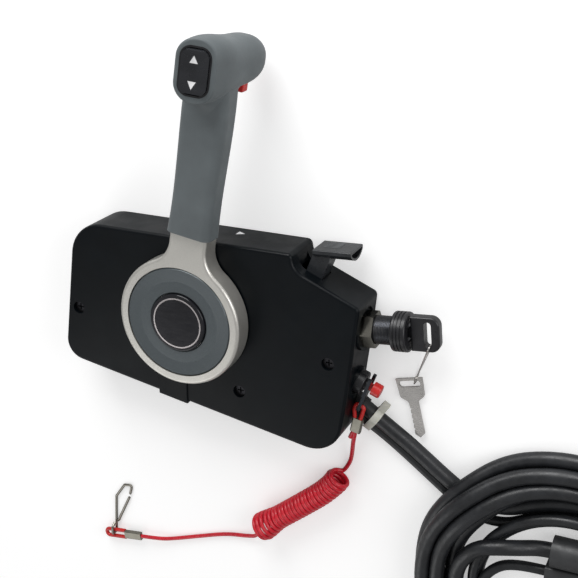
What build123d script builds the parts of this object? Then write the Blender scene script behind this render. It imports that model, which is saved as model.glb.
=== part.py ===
"""Side-mount throttle and shift control for an outboard motor.

Frame: the control lies on its flat mounting back. +Z leaves the lever side along the lever
shaft, +X runs along the case to the key end, +Y is up on the boat. The shaft axis is X = Y = 0
and the mounting back is Z = 0. Sizes are in millimetres.
"""

import os
from math import atan2, cos, pi, radians, sin, tan

from build123d import *

os.makedirs("parts", exist_ok=True)

# Fits
fit_gap = 0.05          # round pieces that are pressed or turn in a bore, on the radius
slide_gap = 0.3         # pieces that move past each other
seat_gap = 0.1          # trays, pockets and lids round what they hold

# Case, seen from the lever side
case_depth = 40.0
case_wall = 3.0
back_thickness = 3.0
case_top = 62.0         # top edge above the shaft
case_front_x = -103.0   # upper corner at the low end
case_step_x = 86.0      # where the top edge drops to the key end
step_drop = 12.5
key_corner = (139.5, 27.8)
key_end_bow = (134.0, -25.0)
low_key_corner = (123.4, -99.1)
low_front_corner = (-119.7, -56.3)
top_front_radius = 30.0
low_front_radius = 16.0
low_key_radius = 26.0
step_radius = 14.0
small_corner_radius = 4.0
face_edge_radius = 4.0

# Cover screws and the four holes for the mounting bolts
cover_screw_places = [(116.0, -20.0), (42.0, -58.0), (-103.0, -12.0)]
screw_radius = 2.5
screw_head_radius = 4.8
screw_head_height = 3.0
screw_recess_depth = 6.0
screw_boss_radius = 6.8
mount_spacing_x = 150.0
mount_spacing_y = 60.0
mount_centre = (0.0, -10.0)
mount_hole_radius = 3.3

# Lever shaft, bushes and the works inside
shaft_radius = 7.0
bush_wall = 3.0
rear_boss_height = 5.0
gear_module = 2.75
gear_teeth = 16
gear_height = 8.0
gear_base = 22.0
gear_backlash = 0.6
shift_arm_length = 36.0
shift_arm_base = 16.0
shift_pin_radius = 5.0
throttle_arm_length = 42.0
throttle_arm_base = 31.5
arm_thickness = 4.0
arm_half_width = 5.0
cable_eye_radius = 2.6
cam_radius = 18.0
cam_base = 9.0
cam_height = 5.0
cam_step = 32.0
roller_radius = 3.0
notch_depth = 1.4
leaf_thickness = 1.0
leaf_anchor = (44.0, -24.0)

# Lever casting
lever_lean = 9.0        # degrees, towards the key end in neutral
hub_gap = 1.5           # between the case face and the hub
hub_radius = 51.5
hub_height = 16.5
hub_web = 5.0
hub_edge_radius = 2.6
neck_half_width = 15.5
neck_length = 73.0
neck_flare_radius = 22.0
hub_bolt_radius = 3.0
hub_bolt_head = 3.6
hub_bolt_length = 14.0
disc_radius = 44.0
disc_thickness = 4.0
cap_radius = 23.2
cap_height = 5.2
cap_ring_radius = 20.4
cap_ring_width = 1.1
tongue_length = 66.0
tongue_half_width = 9.0
tongue_thickness = 8.0

# Grip: a stem with a palm knob across its top
stem_start = neck_length
stem_width = 36.3
stem_depth = 21.9
stem_waist = 35.2
stem_top_width = 34.0
stem_top_depth = 24.0
stem_corner = 6.5
stem_mid = 132.0
stem_neck = 168.0
stem_end = 192.0
stem_axis_height = 52.1
stem_top_height = 55.0
knob_face_centre = (3.4, 200.0, 82.0)
knob_length = (9.0, 3.2, -72.0)
knob_face_turn = 14.0
knob_face_width = 29.2
knob_face_height = 45.0
knob_face_corner = 13.8
knob_dome = 33.0
grip_cover_thickness = 2.5
grip_cover_width = 19.0
grip_cover_start = 82.0
grip_cover_end = 150.0
grip_screw_places = [92.0, 126.0]
grip_screw_radius = 1.6

# Trim rocker in the knob face and the neutral lock trigger below the knob
rocker_frame_width = 22.5
rocker_frame_height = 35.0
rocker_frame_depth = 7.0
rocker_frame_wall = 1.25
rocker_frame_corner = 8.0
rocker_swing_radius = 16.0
rocker_pin_radius = 1.0
rocker_pin_depth = 2.5
rocker_rise = 2.6
trigger_width = 6.4
trigger_length = 8.0
trigger_drop = 9.5
trigger_travel = 4.0

# Fast idle lever
idle_pivot = (97.0, 37.3)
idle_slot_low = 11.5
idle_slot_high = 28.5
idle_hub_radius = 7.5
idle_pin_radius = 3.0
tab_start_x = 99.5
tab_length = 30.0
tab_top_y = 66.5
tab_low_z = 8.0
tab_width = 24.0
tab_thickness = 8.5
tab_rise = 3.0
tab_wall = 1.8
tab_pocket = 12.0

# Key switch
key_origin = (137.8, 5.0, 20.0)
key_boss_radius = 16.5
key_boss_depth = 7.0
key_rise = 5.6
key_nut_flats = 25.0
key_nut_height = 9.5
key_barrel_radius = 10.5
key_barrel_length = 31.0
key_collar_radius = 15.0
key_collar_length = 12.0
key_collar_start = 23.0
key_body_radius = 13.0
key_body_length = 27.0
plug_radius = 7.0
key_head_width = 27.0
key_head_length = 22.0
key_head_thickness = 8.0
key_slot_length = 20.0
key_slot_width = 5.5
key_blade_width = 8.0
key_blade_thickness = 2.2
key_blade_depth = 18.0

# Wire loop and spare key
wire_radius = 0.6
wire_bend = 1.6
wire_points = [(188.9, 1.6, 27.2), (188.9, 1.6, 14.2), (174.6, -31.5, 0.8), (172.5, -40.2, 0.8),
               (172.5, -40.3, 5.2)]
wire_sleeve_radius = 1.3
wire_sleeve_length = 5.0
spare_plate = 2.0
spare_lift = 1.7
spare_top_centre = (167.4, -37.4)
spare_head_width = 21.5
spare_head_length = 19.5
spare_shoulder_radius = 3.0
spare_slot_width = 17.0
spare_slot_height = 5.2
spare_rim = 2.0
spare_blade_width = 7.5
spare_blade_length = 30.0
spare_lean = 14.0

# Stop switch and its lock plate
stop_origin = (133.0, -38.2, 20.0)
stop_fall = 20.0
stop_boss_radius = 11.0
stop_nut_radius = 9.5
stop_nut_height = 6.4
stop_thread_radius = 5.5
stop_neck_end = 8.1
stop_button_start = 12.9
stop_stem_radius = 3.0
stop_button_radius = 5.4
stop_button_length = 7.0
stop_travel = 2.0
lock_plate_thickness = 2.4
lock_plate_width = 13.0
lock_plate_reach = 22.5
lock_tail_width = 7.2
lock_eye = 19.4
lock_eye_radius = 2.0
loop_strap_radius = 1.6
loop_half_width = 3.4
loop_low_half_width = 1.9
loop_low_out = 2.6
loop_turn_drop = 24.4
loop_drop = 33.5
crimp_top = (134.0, -70.6, 19.8)
crimp_end = (131.0, -83.7, 17.6)
crimp_width = 8.6
crimp_thickness = 4.4

# Cords, with the points of their routes
cord_diameter = 3.5
cord_coil_diameter = 19.5
cord_top_points = [(131.0, -83.7, 17.6), (128.66, -93.9, 15.89), (125.2, -108.7, 8.0),
                   (121.81, -120.96, 2.2), (116.2, -131.5, 2.2)]
cord_coil_points = [(116.2, -131.5, 10.2), (109.6, -143.9, 10.2), (80.0, -170.0, 10.2),
                    (46.0, -198.5, 10.2)]
cord_lead_points = [(50.62, -204.02, 6.7), (41.43, -211.73, 6.7), (28.0, -218.0, 2.6), (8.0, -221.6, 2.0),
                    (-18.0, -231.2, 2.0), (-50.0, -243.1, 2.6), (-62.0, -244.7, 4.6), (-79.0, -247.0, 4.6)]
main_cable_diameter = 12.0
trim_cable_diameter = 8.0
outlet_centre = (128.3, -67.0)
outlet_fall = 34.5
outlet_face = 5.5
outlet_depth = 8.0
outlet_main = (4.8, 8.4)        # offset towards the lever, height
outlet_trim = (-5.2, 6.6)
grommet_wall = 1.2
outlet_run = 8.0                # straight start of both cables
main_cable_points = [(154.0, -78.9, 8.0), (172.0, -91.6, 6.4),
                     (206.37, -117.33, 6.4)]
trim_cable_points = [(148.4, -87.0, 4.9), (166.2, -99.6, 4.2),
                     (200.4, -125.2, 4.2)]
tie_share = 0.2                 # place of the tie on the cables' second runs
tie_width = 6.0
tie_band = 1.2
tie_head_length = 8.0
tie_head_thickness = 5.0
coil_centre = (302.0, -194.0)
coil_outer_radius = 124.5
coil_inner_radius = 65.5
coil_height = 24.0
coil_entry_fall = 36.83
coil_entry_cut = 122.5          # distance of the cables' entry face from the coil's centre
coil_hump_height = 33.0
coil_hump_half_width = 52.0
main_tail_points = [(250.6, -152.0, 9.8), (262.0, -152.0, 9.8), (276.0, -152.0, 12.2),
                    (288.0, -152.0, 12.2)]
trim_tail_points = [(238.6, -174.0, 5.0), (252.0, -174.0, 5.0), (270.0, -174.0, 7.7),
                    (284.0, -174.0, 7.7)]
hook_crimp_length = 17.0
hook_crimp_width = 7.6
hook_crimp_thickness = 4.2
eye_half_width = 3.3
eye_length = 22.0
hook_wire_radius = 1.2
hook_points = [(-107.3, -240.2, 3.8), (-107.5, -243.2, 8.0), (-107.8, -250.7, 8.0), (-107.8, -250.7, 1.3),
               (-107.2, -238.0, 1.3), (-105.5, -213.0, 1.3), (-96.0, -199.0, 1.3), (-88.0, -197.5, 1.3),
               (-90.5, -207.0, 1.3)]
gate_points = [(-91.6, -211.0, 1.3), (-104.6, -238.3, 1.3)]
main_plug_radius = 12.0
main_plug_length = 46.0
trim_plug_width = 15.0
trim_plug_length = 32.0


def save(piece, name):
    """Label a finished piece and write it to its own file."""
    piece.part.label = name
    export_step(piece.part, f"parts/{name}.step")


def tube_path(points):
    """Straight runs joined by the largest arcs that their runs allow."""
    corners = [Vector(point) for point in points]
    radii = []
    for before, corner, after in zip(corners, corners[1:], corners[2:]):
        turn = (corner - before).get_angle(after - corner)
        run = min((corner - before).length, (after - corner).length)
        radii.append(0.45 * run / tan(radians(turn) / 2))
    return corners, radii


def build_tube(points, diameter, name):
    """A plain round tube along a cord's route, with the arcs' radii printed."""
    corners, radii = tube_path(points)
    print(name, "arc radii in diameters:", [round(radius / diameter, 1) for radius in radii])
    with BuildPart() as tube:
        with BuildLine() as route:
            if radii:
                FilletPolyline(*corners, radius=radii)
            else:
                Line(corners[0], corners[-1])
        with BuildSketch(Plane(origin=route.line @ 0, z_dir=route.line % 0)):
            Circle(diameter / 2)
        sweep()
    return tube


# Housing
case_corners = [(case_front_x, case_top), (case_step_x, case_top),
                (case_step_x + 2.0, case_top - step_drop), key_corner,
                low_key_corner, low_front_corner]
corner_radii = [top_front_radius, small_corner_radius, step_radius, small_corner_radius,
                low_key_radius, low_front_radius]
with BuildSketch() as case_profile:
    with BuildLine():
        Polyline(low_key_corner, low_front_corner, *case_corners[:4])
        ThreePointArc(key_corner, key_end_bow, low_key_corner)
    make_face()
    for corner, radius in zip(case_corners, corner_radii):
        fillet(case_profile.vertices().sort_by_distance(corner)[0], radius)
with BuildSketch() as cavity_profile:
    add(case_profile.sketch)
    offset(amount=-case_wall, mode=Mode.REPLACE)

face_z = case_depth
cavity_top = case_depth - case_wall
key_dir = Vector(cos(radians(key_rise)), sin(radians(key_rise)), 0)
key_plane = Plane(origin=key_origin, x_dir=(0, 0, 1), z_dir=key_dir)
stop_dir = Vector(cos(radians(stop_fall)), -sin(radians(stop_fall)), 0)
stop_down = Vector(-sin(radians(stop_fall)), -cos(radians(stop_fall)), 0)
stop_plane = Plane(origin=stop_origin, x_dir=stop_down, z_dir=stop_dir)
outlet_dir = Vector(cos(radians(outlet_fall)), -sin(radians(outlet_fall)), 0)
outlet_side = Vector(sin(radians(outlet_fall)), cos(radians(outlet_fall)), 0)


def around_pair(main_at, trim_at, spare):
    """The outline that wraps the two cables at a distance."""
    with BuildSketch() as wrap:
        with Locations(main_at):
            Circle(main_cable_diameter / 2 + spare)
        with Locations(trim_at):
            Circle(trim_cable_diameter / 2 + spare)
        make_hull()
    return wrap.sketch


outlet_plane = Plane(origin=(outlet_centre[0], outlet_centre[1], 0), x_dir=outlet_side, z_dir=outlet_dir)
bush_outer = shaft_radius + bush_wall
hub_base = face_z + hub_gap
hub_top = hub_base + hub_height
plate_left = -30.0
plate_right = -4.0
plate_top = -44.0
plate_proud = 1.2
plate_sheet = 2.0
low_edge = atan2(low_key_corner[1] - low_front_corner[1], low_key_corner[0] - low_front_corner[0])

with BuildPart() as housing_cover:
    with BuildSketch(Plane.XY.offset(back_thickness)):
        add(case_profile.sketch)
    extrude(amount=case_depth - back_thickness)
    front_edges = housing_cover.faces().sort_by(Axis.Z)[-1].edges()
    fillet(front_edges, face_edge_radius - 1.5)
    with BuildSketch(Plane.XY.offset(back_thickness)):
        add(cavity_profile.sketch)
    extrude(amount=cavity_top - back_thickness, mode=Mode.SUBTRACT)
    # bosses round the screws, the bush and the switches
    with BuildSketch(Plane.XY.offset(back_thickness)):
        with Locations(*cover_screw_places):
            Circle(screw_boss_radius)
    extrude(amount=case_depth - case_wall - back_thickness)
    with BuildSketch(Plane.XY.offset(cavity_top - 1.0)):
        Circle(bush_outer + 2 * case_wall)
    extrude(amount=1.0)
    with BuildSketch(key_plane.offset(-key_boss_depth)):
        Circle(key_boss_radius)
    extrude(amount=key_boss_depth)
    with BuildSketch(stop_plane.offset(-9.0)):
        Circle(stop_boss_radius)
    extrude(amount=9.0)
    with BuildSketch(stop_plane.offset(-24.0)):
        Circle(stop_boss_radius - case_wall)
    extrude(amount=24.0 - case_wall, mode=Mode.SUBTRACT)
    with BuildSketch(stop_plane):
        Circle(stop_boss_radius)
    extrude(amount=9.0, mode=Mode.SUBTRACT)
    # screw holes with their recesses
    with Locations(*[(x, y, face_z) for x, y in cover_screw_places]):
        CounterBoreHole(screw_radius + slide_gap, screw_head_radius + slide_gap, screw_recess_depth)
    # bores for the bush, the key switch and the stop switch
    with BuildSketch(Plane.XY.offset(face_z)):
        Circle(bush_outer + fit_gap)
    extrude(amount=-case_wall - 1.5, mode=Mode.SUBTRACT)
    with BuildSketch(key_plane):
        Circle(key_boss_radius + slide_gap)
    extrude(amount=6 * case_wall, mode=Mode.SUBTRACT)
    with BuildSketch(key_plane.offset(-3 * case_wall)):
        Circle(key_barrel_radius + fit_gap)
    extrude(amount=6 * case_wall, mode=Mode.SUBTRACT)
    with BuildSketch(stop_plane.offset(-3 * case_wall)):
        Circle(stop_thread_radius + fit_gap)
    extrude(amount=6 * case_wall, mode=Mode.SUBTRACT)
    # outlet for the two cables
    with BuildSketch(outlet_plane.offset(-outlet_depth - case_wall)):
        add(around_pair(outlet_main, outlet_trim, grommet_wall + fit_gap))
    extrude(amount=4 * outlet_depth, mode=Mode.SUBTRACT)
    # slot for the fast idle lever, open to the step
    with BuildSketch(Plane.XY.offset(idle_slot_low)):
        with Locations(idle_pivot):
            Circle(idle_hub_radius + 3 * slide_gap)
        with BuildLine():
            Polyline((idle_pivot[0] - 8.0, idle_pivot[1] - 6.0),
                     (idle_pivot[0] - 10.0, idle_pivot[1] + 19.0),
                     (idle_pivot[0] + 12.0, idle_pivot[1] + 19.0),
                     (idle_pivot[0] + 8.0, idle_pivot[1] - 6.0), close=True)
        make_face()
    extrude(amount=idle_slot_high - idle_slot_low, mode=Mode.SUBTRACT)
    # seat of the access plate, on the face and round the low edge
    with BuildSketch(Plane.XY.offset(face_z)):
        with Locations(((plate_left + plate_right) / 2, plate_top)):
            Rectangle(plate_right - plate_left, 60.0, align=(Align.CENTER, Align.MAX))
    extrude(amount=plate_proud - plate_sheet, mode=Mode.SUBTRACT)

with BuildPart() as back_cover:
    with BuildSketch():
        add(case_profile.sketch)
    extrude(amount=back_thickness)
    chamfer(back_cover.faces().sort_by(Axis.Z)[0].edges(), 0.6)
    with BuildSketch(Plane.XY.offset(back_thickness)):
        add(cavity_profile.sketch)
        offset(amount=-seat_gap, mode=Mode.REPLACE)
        with BuildSketch(mode=Mode.PRIVATE) as lip_inner:
            add(cavity_profile.sketch)
            offset(amount=-2.0, mode=Mode.REPLACE)
        add(lip_inner.sketch, mode=Mode.SUBTRACT)
        with Locations(*cover_screw_places):
            Circle(screw_boss_radius + slide_gap, mode=Mode.SUBTRACT)
        with Locations(outlet_centre):
            Circle(24.0, mode=Mode.SUBTRACT)
        with Locations((key_origin[0], key_origin[1]), (stop_origin[0], stop_origin[1])):
            Circle(22.0, mode=Mode.SUBTRACT)
    extrude(amount=2.5)
    with BuildSketch(Plane.XY.offset(back_thickness)):
        Circle(bush_outer + 2.0)
        with Locations(idle_pivot):
            Circle(idle_pin_radius + 0.9)
        with Locations((-gear_module * gear_teeth, 0)):
            Circle(shift_pin_radius + 3.0)
    extrude(amount=rear_boss_height)
    with BuildSketch(Plane.XY.offset(back_thickness - 2.0)):
        Circle(bush_outer + fit_gap)
        with Locations(idle_pivot):
            Circle(idle_pin_radius + fit_gap)
        with Locations((-gear_module * gear_teeth, 0)):
            Circle(shift_pin_radius + fit_gap)
        with Locations(*cover_screw_places):
            Circle(screw_radius + fit_gap)
    extrude(amount=rear_boss_height + 2.0, mode=Mode.SUBTRACT)
    with Locations(Location((mount_centre[0], mount_centre[1], 0))):
        with GridLocations(mount_spacing_x, mount_spacing_y, 2, 2):
            Hole(mount_hole_radius)
    with BuildSketch(outlet_plane.offset(-outlet_depth - case_wall)):
        add(around_pair(outlet_main, outlet_trim, grommet_wall + fit_gap))
    extrude(amount=4 * outlet_depth, mode=Mode.SUBTRACT)

with BuildPart() as cover_screws:
    for x, y in cover_screw_places:
        with BuildSketch(Plane((x, y, back_thickness - 1.8))):
            Circle(screw_radius)
        extrude(amount=face_z - screw_recess_depth - back_thickness + 1.8)
        with BuildSketch(Plane((x, y, face_z - screw_recess_depth))):
            Circle(screw_head_radius)
        extrude(amount=screw_head_height)
        with BuildSketch(Plane((x, y, face_z - screw_recess_depth + screw_head_height))):
            Rectangle(5.2, 1.2)
            Rectangle(1.2, 5.2)
        extrude(amount=-1.6, mode=Mode.SUBTRACT)

with BuildPart() as access_plate:
    with BuildSketch(Plane.XY.offset(face_z + plate_proud - plate_sheet)):
        with BuildLine():
            low_ends = []
            for x in (plate_left, plate_right):
                along = (x - low_front_corner[0]) / cos(low_edge)
                low_ends.append((x, low_front_corner[1] + along * sin(low_edge) - plate_proud))
            Polyline((plate_left, plate_top), low_ends[0], low_ends[1], (plate_right, plate_top), close=True)
        make_face()
    extrude(amount=plate_sheet)
    chamfer(access_plate.faces().sort_by(Axis.Z)[-1].edges().filter_by(Axis.Y), 0.6)
    with BuildSketch(Plane.XY.offset(face_z - 16.0)):
        with BuildLine():
            Polyline(low_ends[0], low_ends[1], (low_ends[1][0], low_ends[1][1] + plate_proud),
                     (low_ends[0][0], low_ends[0][1] + plate_proud), close=True)
        make_face()
    extrude(amount=16.0 + plate_proud - plate_sheet)

save(housing_cover, "housing_cover")
save(back_cover, "back_cover")
save(cover_screws, "cover_screws")
save(access_plate, "access_plate")


# Bushes, shaft and gears
def bush(base, height):
    """A plain bush for the lever shaft."""
    with BuildPart() as piece:
        with BuildSketch(Plane.XY.offset(base)):
            Circle(bush_outer)
            Circle(shaft_radius + fit_gap, mode=Mode.SUBTRACT)
        extrude(amount=height)
    return piece


front_bush = bush(cavity_top - 1.0, case_wall + 1.0 + 0.8)
rear_bush = bush(back_thickness - 2.0, rear_boss_height + 2.0)
save(front_bush, "front_bush")
save(rear_bush, "rear_bush")

shaft_top = hub_top - disc_thickness - hub_bolt_head - seat_gap
with BuildPart() as lever_shaft:
    with BuildSketch(Plane.XY.offset(back_thickness - 2.0 + seat_gap)):
        Circle(shaft_radius)
    extrude(amount=shaft_top - back_thickness + 2.0 - seat_gap)
    chamfer(lever_shaft.edges().filter_by(GeomType.CIRCLE), 0.6)
    with BuildSketch(Plane.XY.offset(shaft_top)):
        Circle(hub_bolt_radius + fit_gap)
    extrude(amount=-hub_bolt_length, mode=Mode.SUBTRACT)


def gear(centre, base, bore, phase):
    """A spur gear with straight-flanked teeth, thinned for backlash."""
    pitch_radius = gear_module * gear_teeth / 2
    root_radius = pitch_radius - 1.25 * gear_module
    tip_radius = pitch_radius + 0.8 * gear_module
    half_pitch_width = pi * gear_module / 4 - gear_backlash / 2
    slope = tan(radians(20))
    with BuildPart() as piece:
        with BuildSketch(Plane.XY.offset(base)):
            with Locations(centre):
                Circle(root_radius)
            with Locations(centre):
                with PolarLocations(0, gear_teeth, start_angle=phase):
                    Polygon((root_radius - 1.0, -half_pitch_width - slope * 1.1 * gear_module),
                            (tip_radius, -half_pitch_width + slope * 1.1 * gear_module),
                            (tip_radius, half_pitch_width - slope * 1.1 * gear_module),
                            (root_radius - 1.0, half_pitch_width + slope * 1.1 * gear_module),
                            align=None)
            with Locations(centre):
                Circle(bore, mode=Mode.SUBTRACT)
        extrude(amount=gear_height)
    return piece


gear_distance = gear_module * gear_teeth
drive_gear = gear((0, 0), gear_base, shaft_radius + fit_gap, 0)
shift_gear = gear((-gear_distance, 0), gear_base, shift_pin_radius + fit_gap, 180.0 / gear_teeth)
save(lever_shaft, "lever_shaft")
save(drive_gear, "drive_gear")
save(shift_gear, "shift_gear")


def arm(centre, length, base, bore):
    """A flat arm that hangs from a shaft, with an eye for the cable end."""
    with BuildPart() as piece:
        with BuildSketch(Plane.XY.offset(base)):
            with Locations(centre):
                Circle(bore + 4.0)
            with Locations((centre[0], centre[1] - length)):
                Circle(arm_half_width)
            with Locations((centre[0], centre[1] - length / 2)):
                Rectangle(2 * arm_half_width, length)
            with Locations(centre):
                Circle(bore, mode=Mode.SUBTRACT)
            with Locations((centre[0], centre[1] - length)):
                Circle(cable_eye_radius, mode=Mode.SUBTRACT)
        extrude(amount=arm_thickness)
    return piece


throttle_arm = arm((0, 0), throttle_arm_length, throttle_arm_base, shaft_radius + fit_gap)
shift_arm = arm((-gear_distance, 0), shift_arm_length, shift_arm_base, shift_pin_radius + fit_gap)
with BuildPart() as shift_pin:
    with BuildSketch(Plane((-gear_distance, 0, back_thickness - 2.0 + seat_gap))):
        Circle(shift_pin_radius)
    extrude(amount=cavity_top - back_thickness + 2.0 - 2 * seat_gap)
save(throttle_arm, "throttle_arm")
save(shift_arm, "shift_arm")
save(shift_pin, "shift_pin")

with BuildPart() as detent_cam:
    with BuildSketch(Plane.XY.offset(cam_base)):
        Circle(cam_radius)
        with PolarLocations(cam_radius + roller_radius - notch_depth, 3, start_angle=-cam_step,
                            angular_range=2 * cam_step, endpoint=True):
            Circle(roller_radius + 0.4, mode=Mode.SUBTRACT)
        Circle(shaft_radius + fit_gap, mode=Mode.SUBTRACT)
    extrude(amount=cam_height)
roller_x = cam_radius + roller_radius + slide_gap
with BuildPart() as detent_roller:
    with BuildSketch(Plane((roller_x, 0, cam_base - 0.5))):
        Circle(roller_radius)
    extrude(amount=cam_height + 1.0)
with BuildPart() as detent_spring:
    with BuildSketch(Plane.XY.offset(back_thickness)):
        with Locations(leaf_anchor):
            Rectangle(8.0, 10.0)
    extrude(amount=cam_base + cam_height + 1.0 - back_thickness)
    with BuildSketch(Plane.XY.offset(cam_base)):
        with BuildLine():
            Polyline((roller_x + roller_radius + 0.1, 6.0),
                     (roller_x + roller_radius + 0.1, -6.0),
                     (leaf_anchor[0] - 2.0, leaf_anchor[1] + 4.0),
                     (leaf_anchor[0] + 1.0, leaf_anchor[1] + 4.0),
                     (roller_x + roller_radius + 0.1 + leaf_thickness, -5.5),
                     (roller_x + roller_radius + 0.1 + leaf_thickness, 6.0), close=True)
        make_face()
    extrude(amount=cam_height)
with BuildPart() as neutral_switch:
    with BuildSketch(Plane.XY.offset(back_thickness)):
        with Locations((0, -cam_radius - 14.0)):
            Rectangle(24.0, 16.0)
    extrude(amount=cam_base + cam_height - back_thickness)
    with BuildSketch(Plane((0, -cam_radius - 6.0, cam_base + cam_height / 2), z_dir=(0, 1, 0))):
        Circle(1.6)
    extrude(amount=6.0 - slide_gap)
with BuildPart() as warning_buzzer:
    with BuildSketch(Plane((88.0, -52.0, back_thickness))):
        Circle(13.0)
    extrude(amount=15.0)
    fillet(warning_buzzer.faces().sort_by(Axis.Z)[-1].edges(), 1.5)
    with BuildSketch(Plane((88.0, -52.0, back_thickness + 15.0))):
        Circle(3.0)
    extrude(amount=-4.0, mode=Mode.SUBTRACT)
save(detent_cam, "detent_cam")
save(detent_roller, "detent_roller")
save(detent_spring, "detent_spring")
save(neutral_switch, "neutral_switch")
save(warning_buzzer, "warning_buzzer")

# Lever. Its own frame has u across the arm, v along the arm and z along the shaft.
lever = Plane(origin=(0, 0, 0), x_dir=(cos(radians(lever_lean)), -sin(radians(lever_lean)), 0),
              z_dir=(0, 0, 1))


def lever_point(u, v, z):
    """A point given across, along and above the lever."""
    return lever.from_local_coords(Vector(u, v, z))


def lever_turned(centre, turn):
    """A plane across the knob whose normal is turned from Z towards +u."""
    swing = radians(turn)
    across = lever.x_dir * cos(swing) - lever.z_dir * sin(swing)
    outward = lever.x_dir * sin(swing) + lever.z_dir * cos(swing)
    return Plane(origin=lever_point(*centre), x_dir=across, z_dir=outward)


with BuildPart() as lever_arm:
    with BuildSketch(lever.offset(hub_base)) as hub_sketch:
        Circle(hub_radius)
        Rectangle(2 * neck_half_width, neck_length, align=(Align.CENTER, Align.MIN))
        inner_corners = [vertex for vertex in hub_sketch.vertices()
                         if vertex.Y < neck_length - 5.0 and vertex.Y > hub_radius / 2]
        fillet(inner_corners, neck_flare_radius)
    extrude(amount=hub_height)
    fillet(lever_arm.faces().sort_by(Axis.Z)[-1].edges(), hub_edge_radius)
    with BuildSketch(lever.offset(hub_top)):
        Circle(disc_radius + 0.4)
    extrude(amount=-disc_thickness, mode=Mode.SUBTRACT)
    with BuildSketch(lever.offset(hub_base)):
        Circle(disc_radius - 3.0)
        Circle(shaft_radius + 6.0, mode=Mode.SUBTRACT)
    extrude(amount=hub_height - disc_thickness - hub_web, mode=Mode.SUBTRACT)
    with BuildSketch(lever.offset(hub_base)):
        Circle(shaft_radius + fit_gap)
    extrude(amount=hub_height, mode=Mode.SUBTRACT)
    with BuildSketch(lever.offset(stem_axis_height - tongue_thickness / 2)):
        with Locations((0, neck_length - 1.0)):
            Rectangle(2 * tongue_half_width, tongue_length + 1.0, align=(Align.CENTER, Align.MIN))
    extrude(amount=tongue_thickness)

disc_base = hub_top - disc_thickness
with BuildPart() as hub_disc:
    with BuildSketch(Plane.XZ):
        with BuildLine():
            Polyline((cap_radius + 0.3, disc_base), (disc_radius, disc_base), (disc_radius, hub_top - 1.2),
                     (disc_radius - 1.0, hub_top), (disc_radius - 11.0, hub_top - 0.7),
                     (cap_radius + 1.2, hub_top - 0.7), (cap_radius + 0.3, hub_top - 1.4), close=True)
        make_face()
    revolve(axis=Axis.Z)
cap_top = disc_base + cap_height
with BuildPart() as centre_cap:
    with BuildSketch(Plane.XY.offset(disc_base)):
        Circle(cap_radius)
    extrude(amount=cap_height)
    fillet(centre_cap.faces().sort_by(Axis.Z)[-1].edges(), 1.2)
    with BuildSketch(Plane.XY.offset(cap_top)):
        Circle(cap_ring_radius)
        Circle(cap_ring_radius - cap_ring_width, mode=Mode.SUBTRACT)
    extrude(amount=-0.8, mode=Mode.SUBTRACT)
with BuildPart() as cap_ring:
    with BuildSketch(Plane.XY.offset(cap_top - 0.8)):
        Circle(cap_ring_radius)
        Circle(cap_ring_radius - cap_ring_width, mode=Mode.SUBTRACT)
    extrude(amount=1.2)
with BuildPart() as hub_bolt:
    with BuildSketch(Plane.XY.offset(shaft_top)):
        RegularPolygon(shaft_radius - 1.0, 6)
    extrude(amount=hub_bolt_head)
    with BuildSketch(Plane.XY.offset(shaft_top)):
        Circle(hub_bolt_radius)
    extrude(amount=seat_gap - hub_bolt_length)
save(hub_disc, "hub_disc")
save(centre_cap, "centre_cap")
save(cap_ring, "cap_ring")
save(hub_bolt, "hub_bolt")

# Grip, with its palm knob, and what sits in it
# share of the knob's length, turn of the section, width, height, corner radius
knob_sections = [(0.0, knob_face_turn, knob_face_width, knob_face_height, knob_face_corner),
                 (0.10, knob_face_turn - 2, knob_face_width + 2.6, knob_face_height + 0.4, 14.6),
                 (0.32, 8, knob_dome + 0.6, 42.6, 15.4),
                 (0.60, 2, knob_dome, 37.0, 15.6),
                 (0.80, 0, knob_dome - 1.2, 33.6, 14.6),
                 (0.91, 0, knob_dome - 7.4, 27.0, 12.2),
                 (1.0, 0, 11.0, 12.0, 5.0)]
stem_sections = [(stem_start, 0.9, stem_axis_height, stem_width, stem_depth),
                 (stem_mid, 2.2, stem_axis_height + 0.3, stem_waist, stem_depth + 0.3),
                 (stem_neck, 3.0, stem_top_height - 1.5, stem_width + 0.2, stem_top_depth - 2.0),
                 (stem_end, 3.6, stem_top_height, stem_top_width, stem_top_depth)]
face_plane = lever_turned(knob_face_centre, knob_face_turn)
knob_start = Vector(*knob_face_centre)
knob_run = Vector(*knob_length)
trigger_share = 0.84
trigger_depth = 26.0
trigger_centre = knob_start + knob_run * trigger_share
trigger_low = trigger_centre.Y - 16.0 - trigger_drop
trigger_plane = lever_turned((trigger_centre.X, trigger_centre.Y, trigger_centre.Z), 0)
cover_height = (grip_cover_end - grip_cover_start)
cover_mid = (grip_cover_end + grip_cover_start) / 2
cover_base = stem_axis_height - stem_depth / 2 + 0.2
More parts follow.
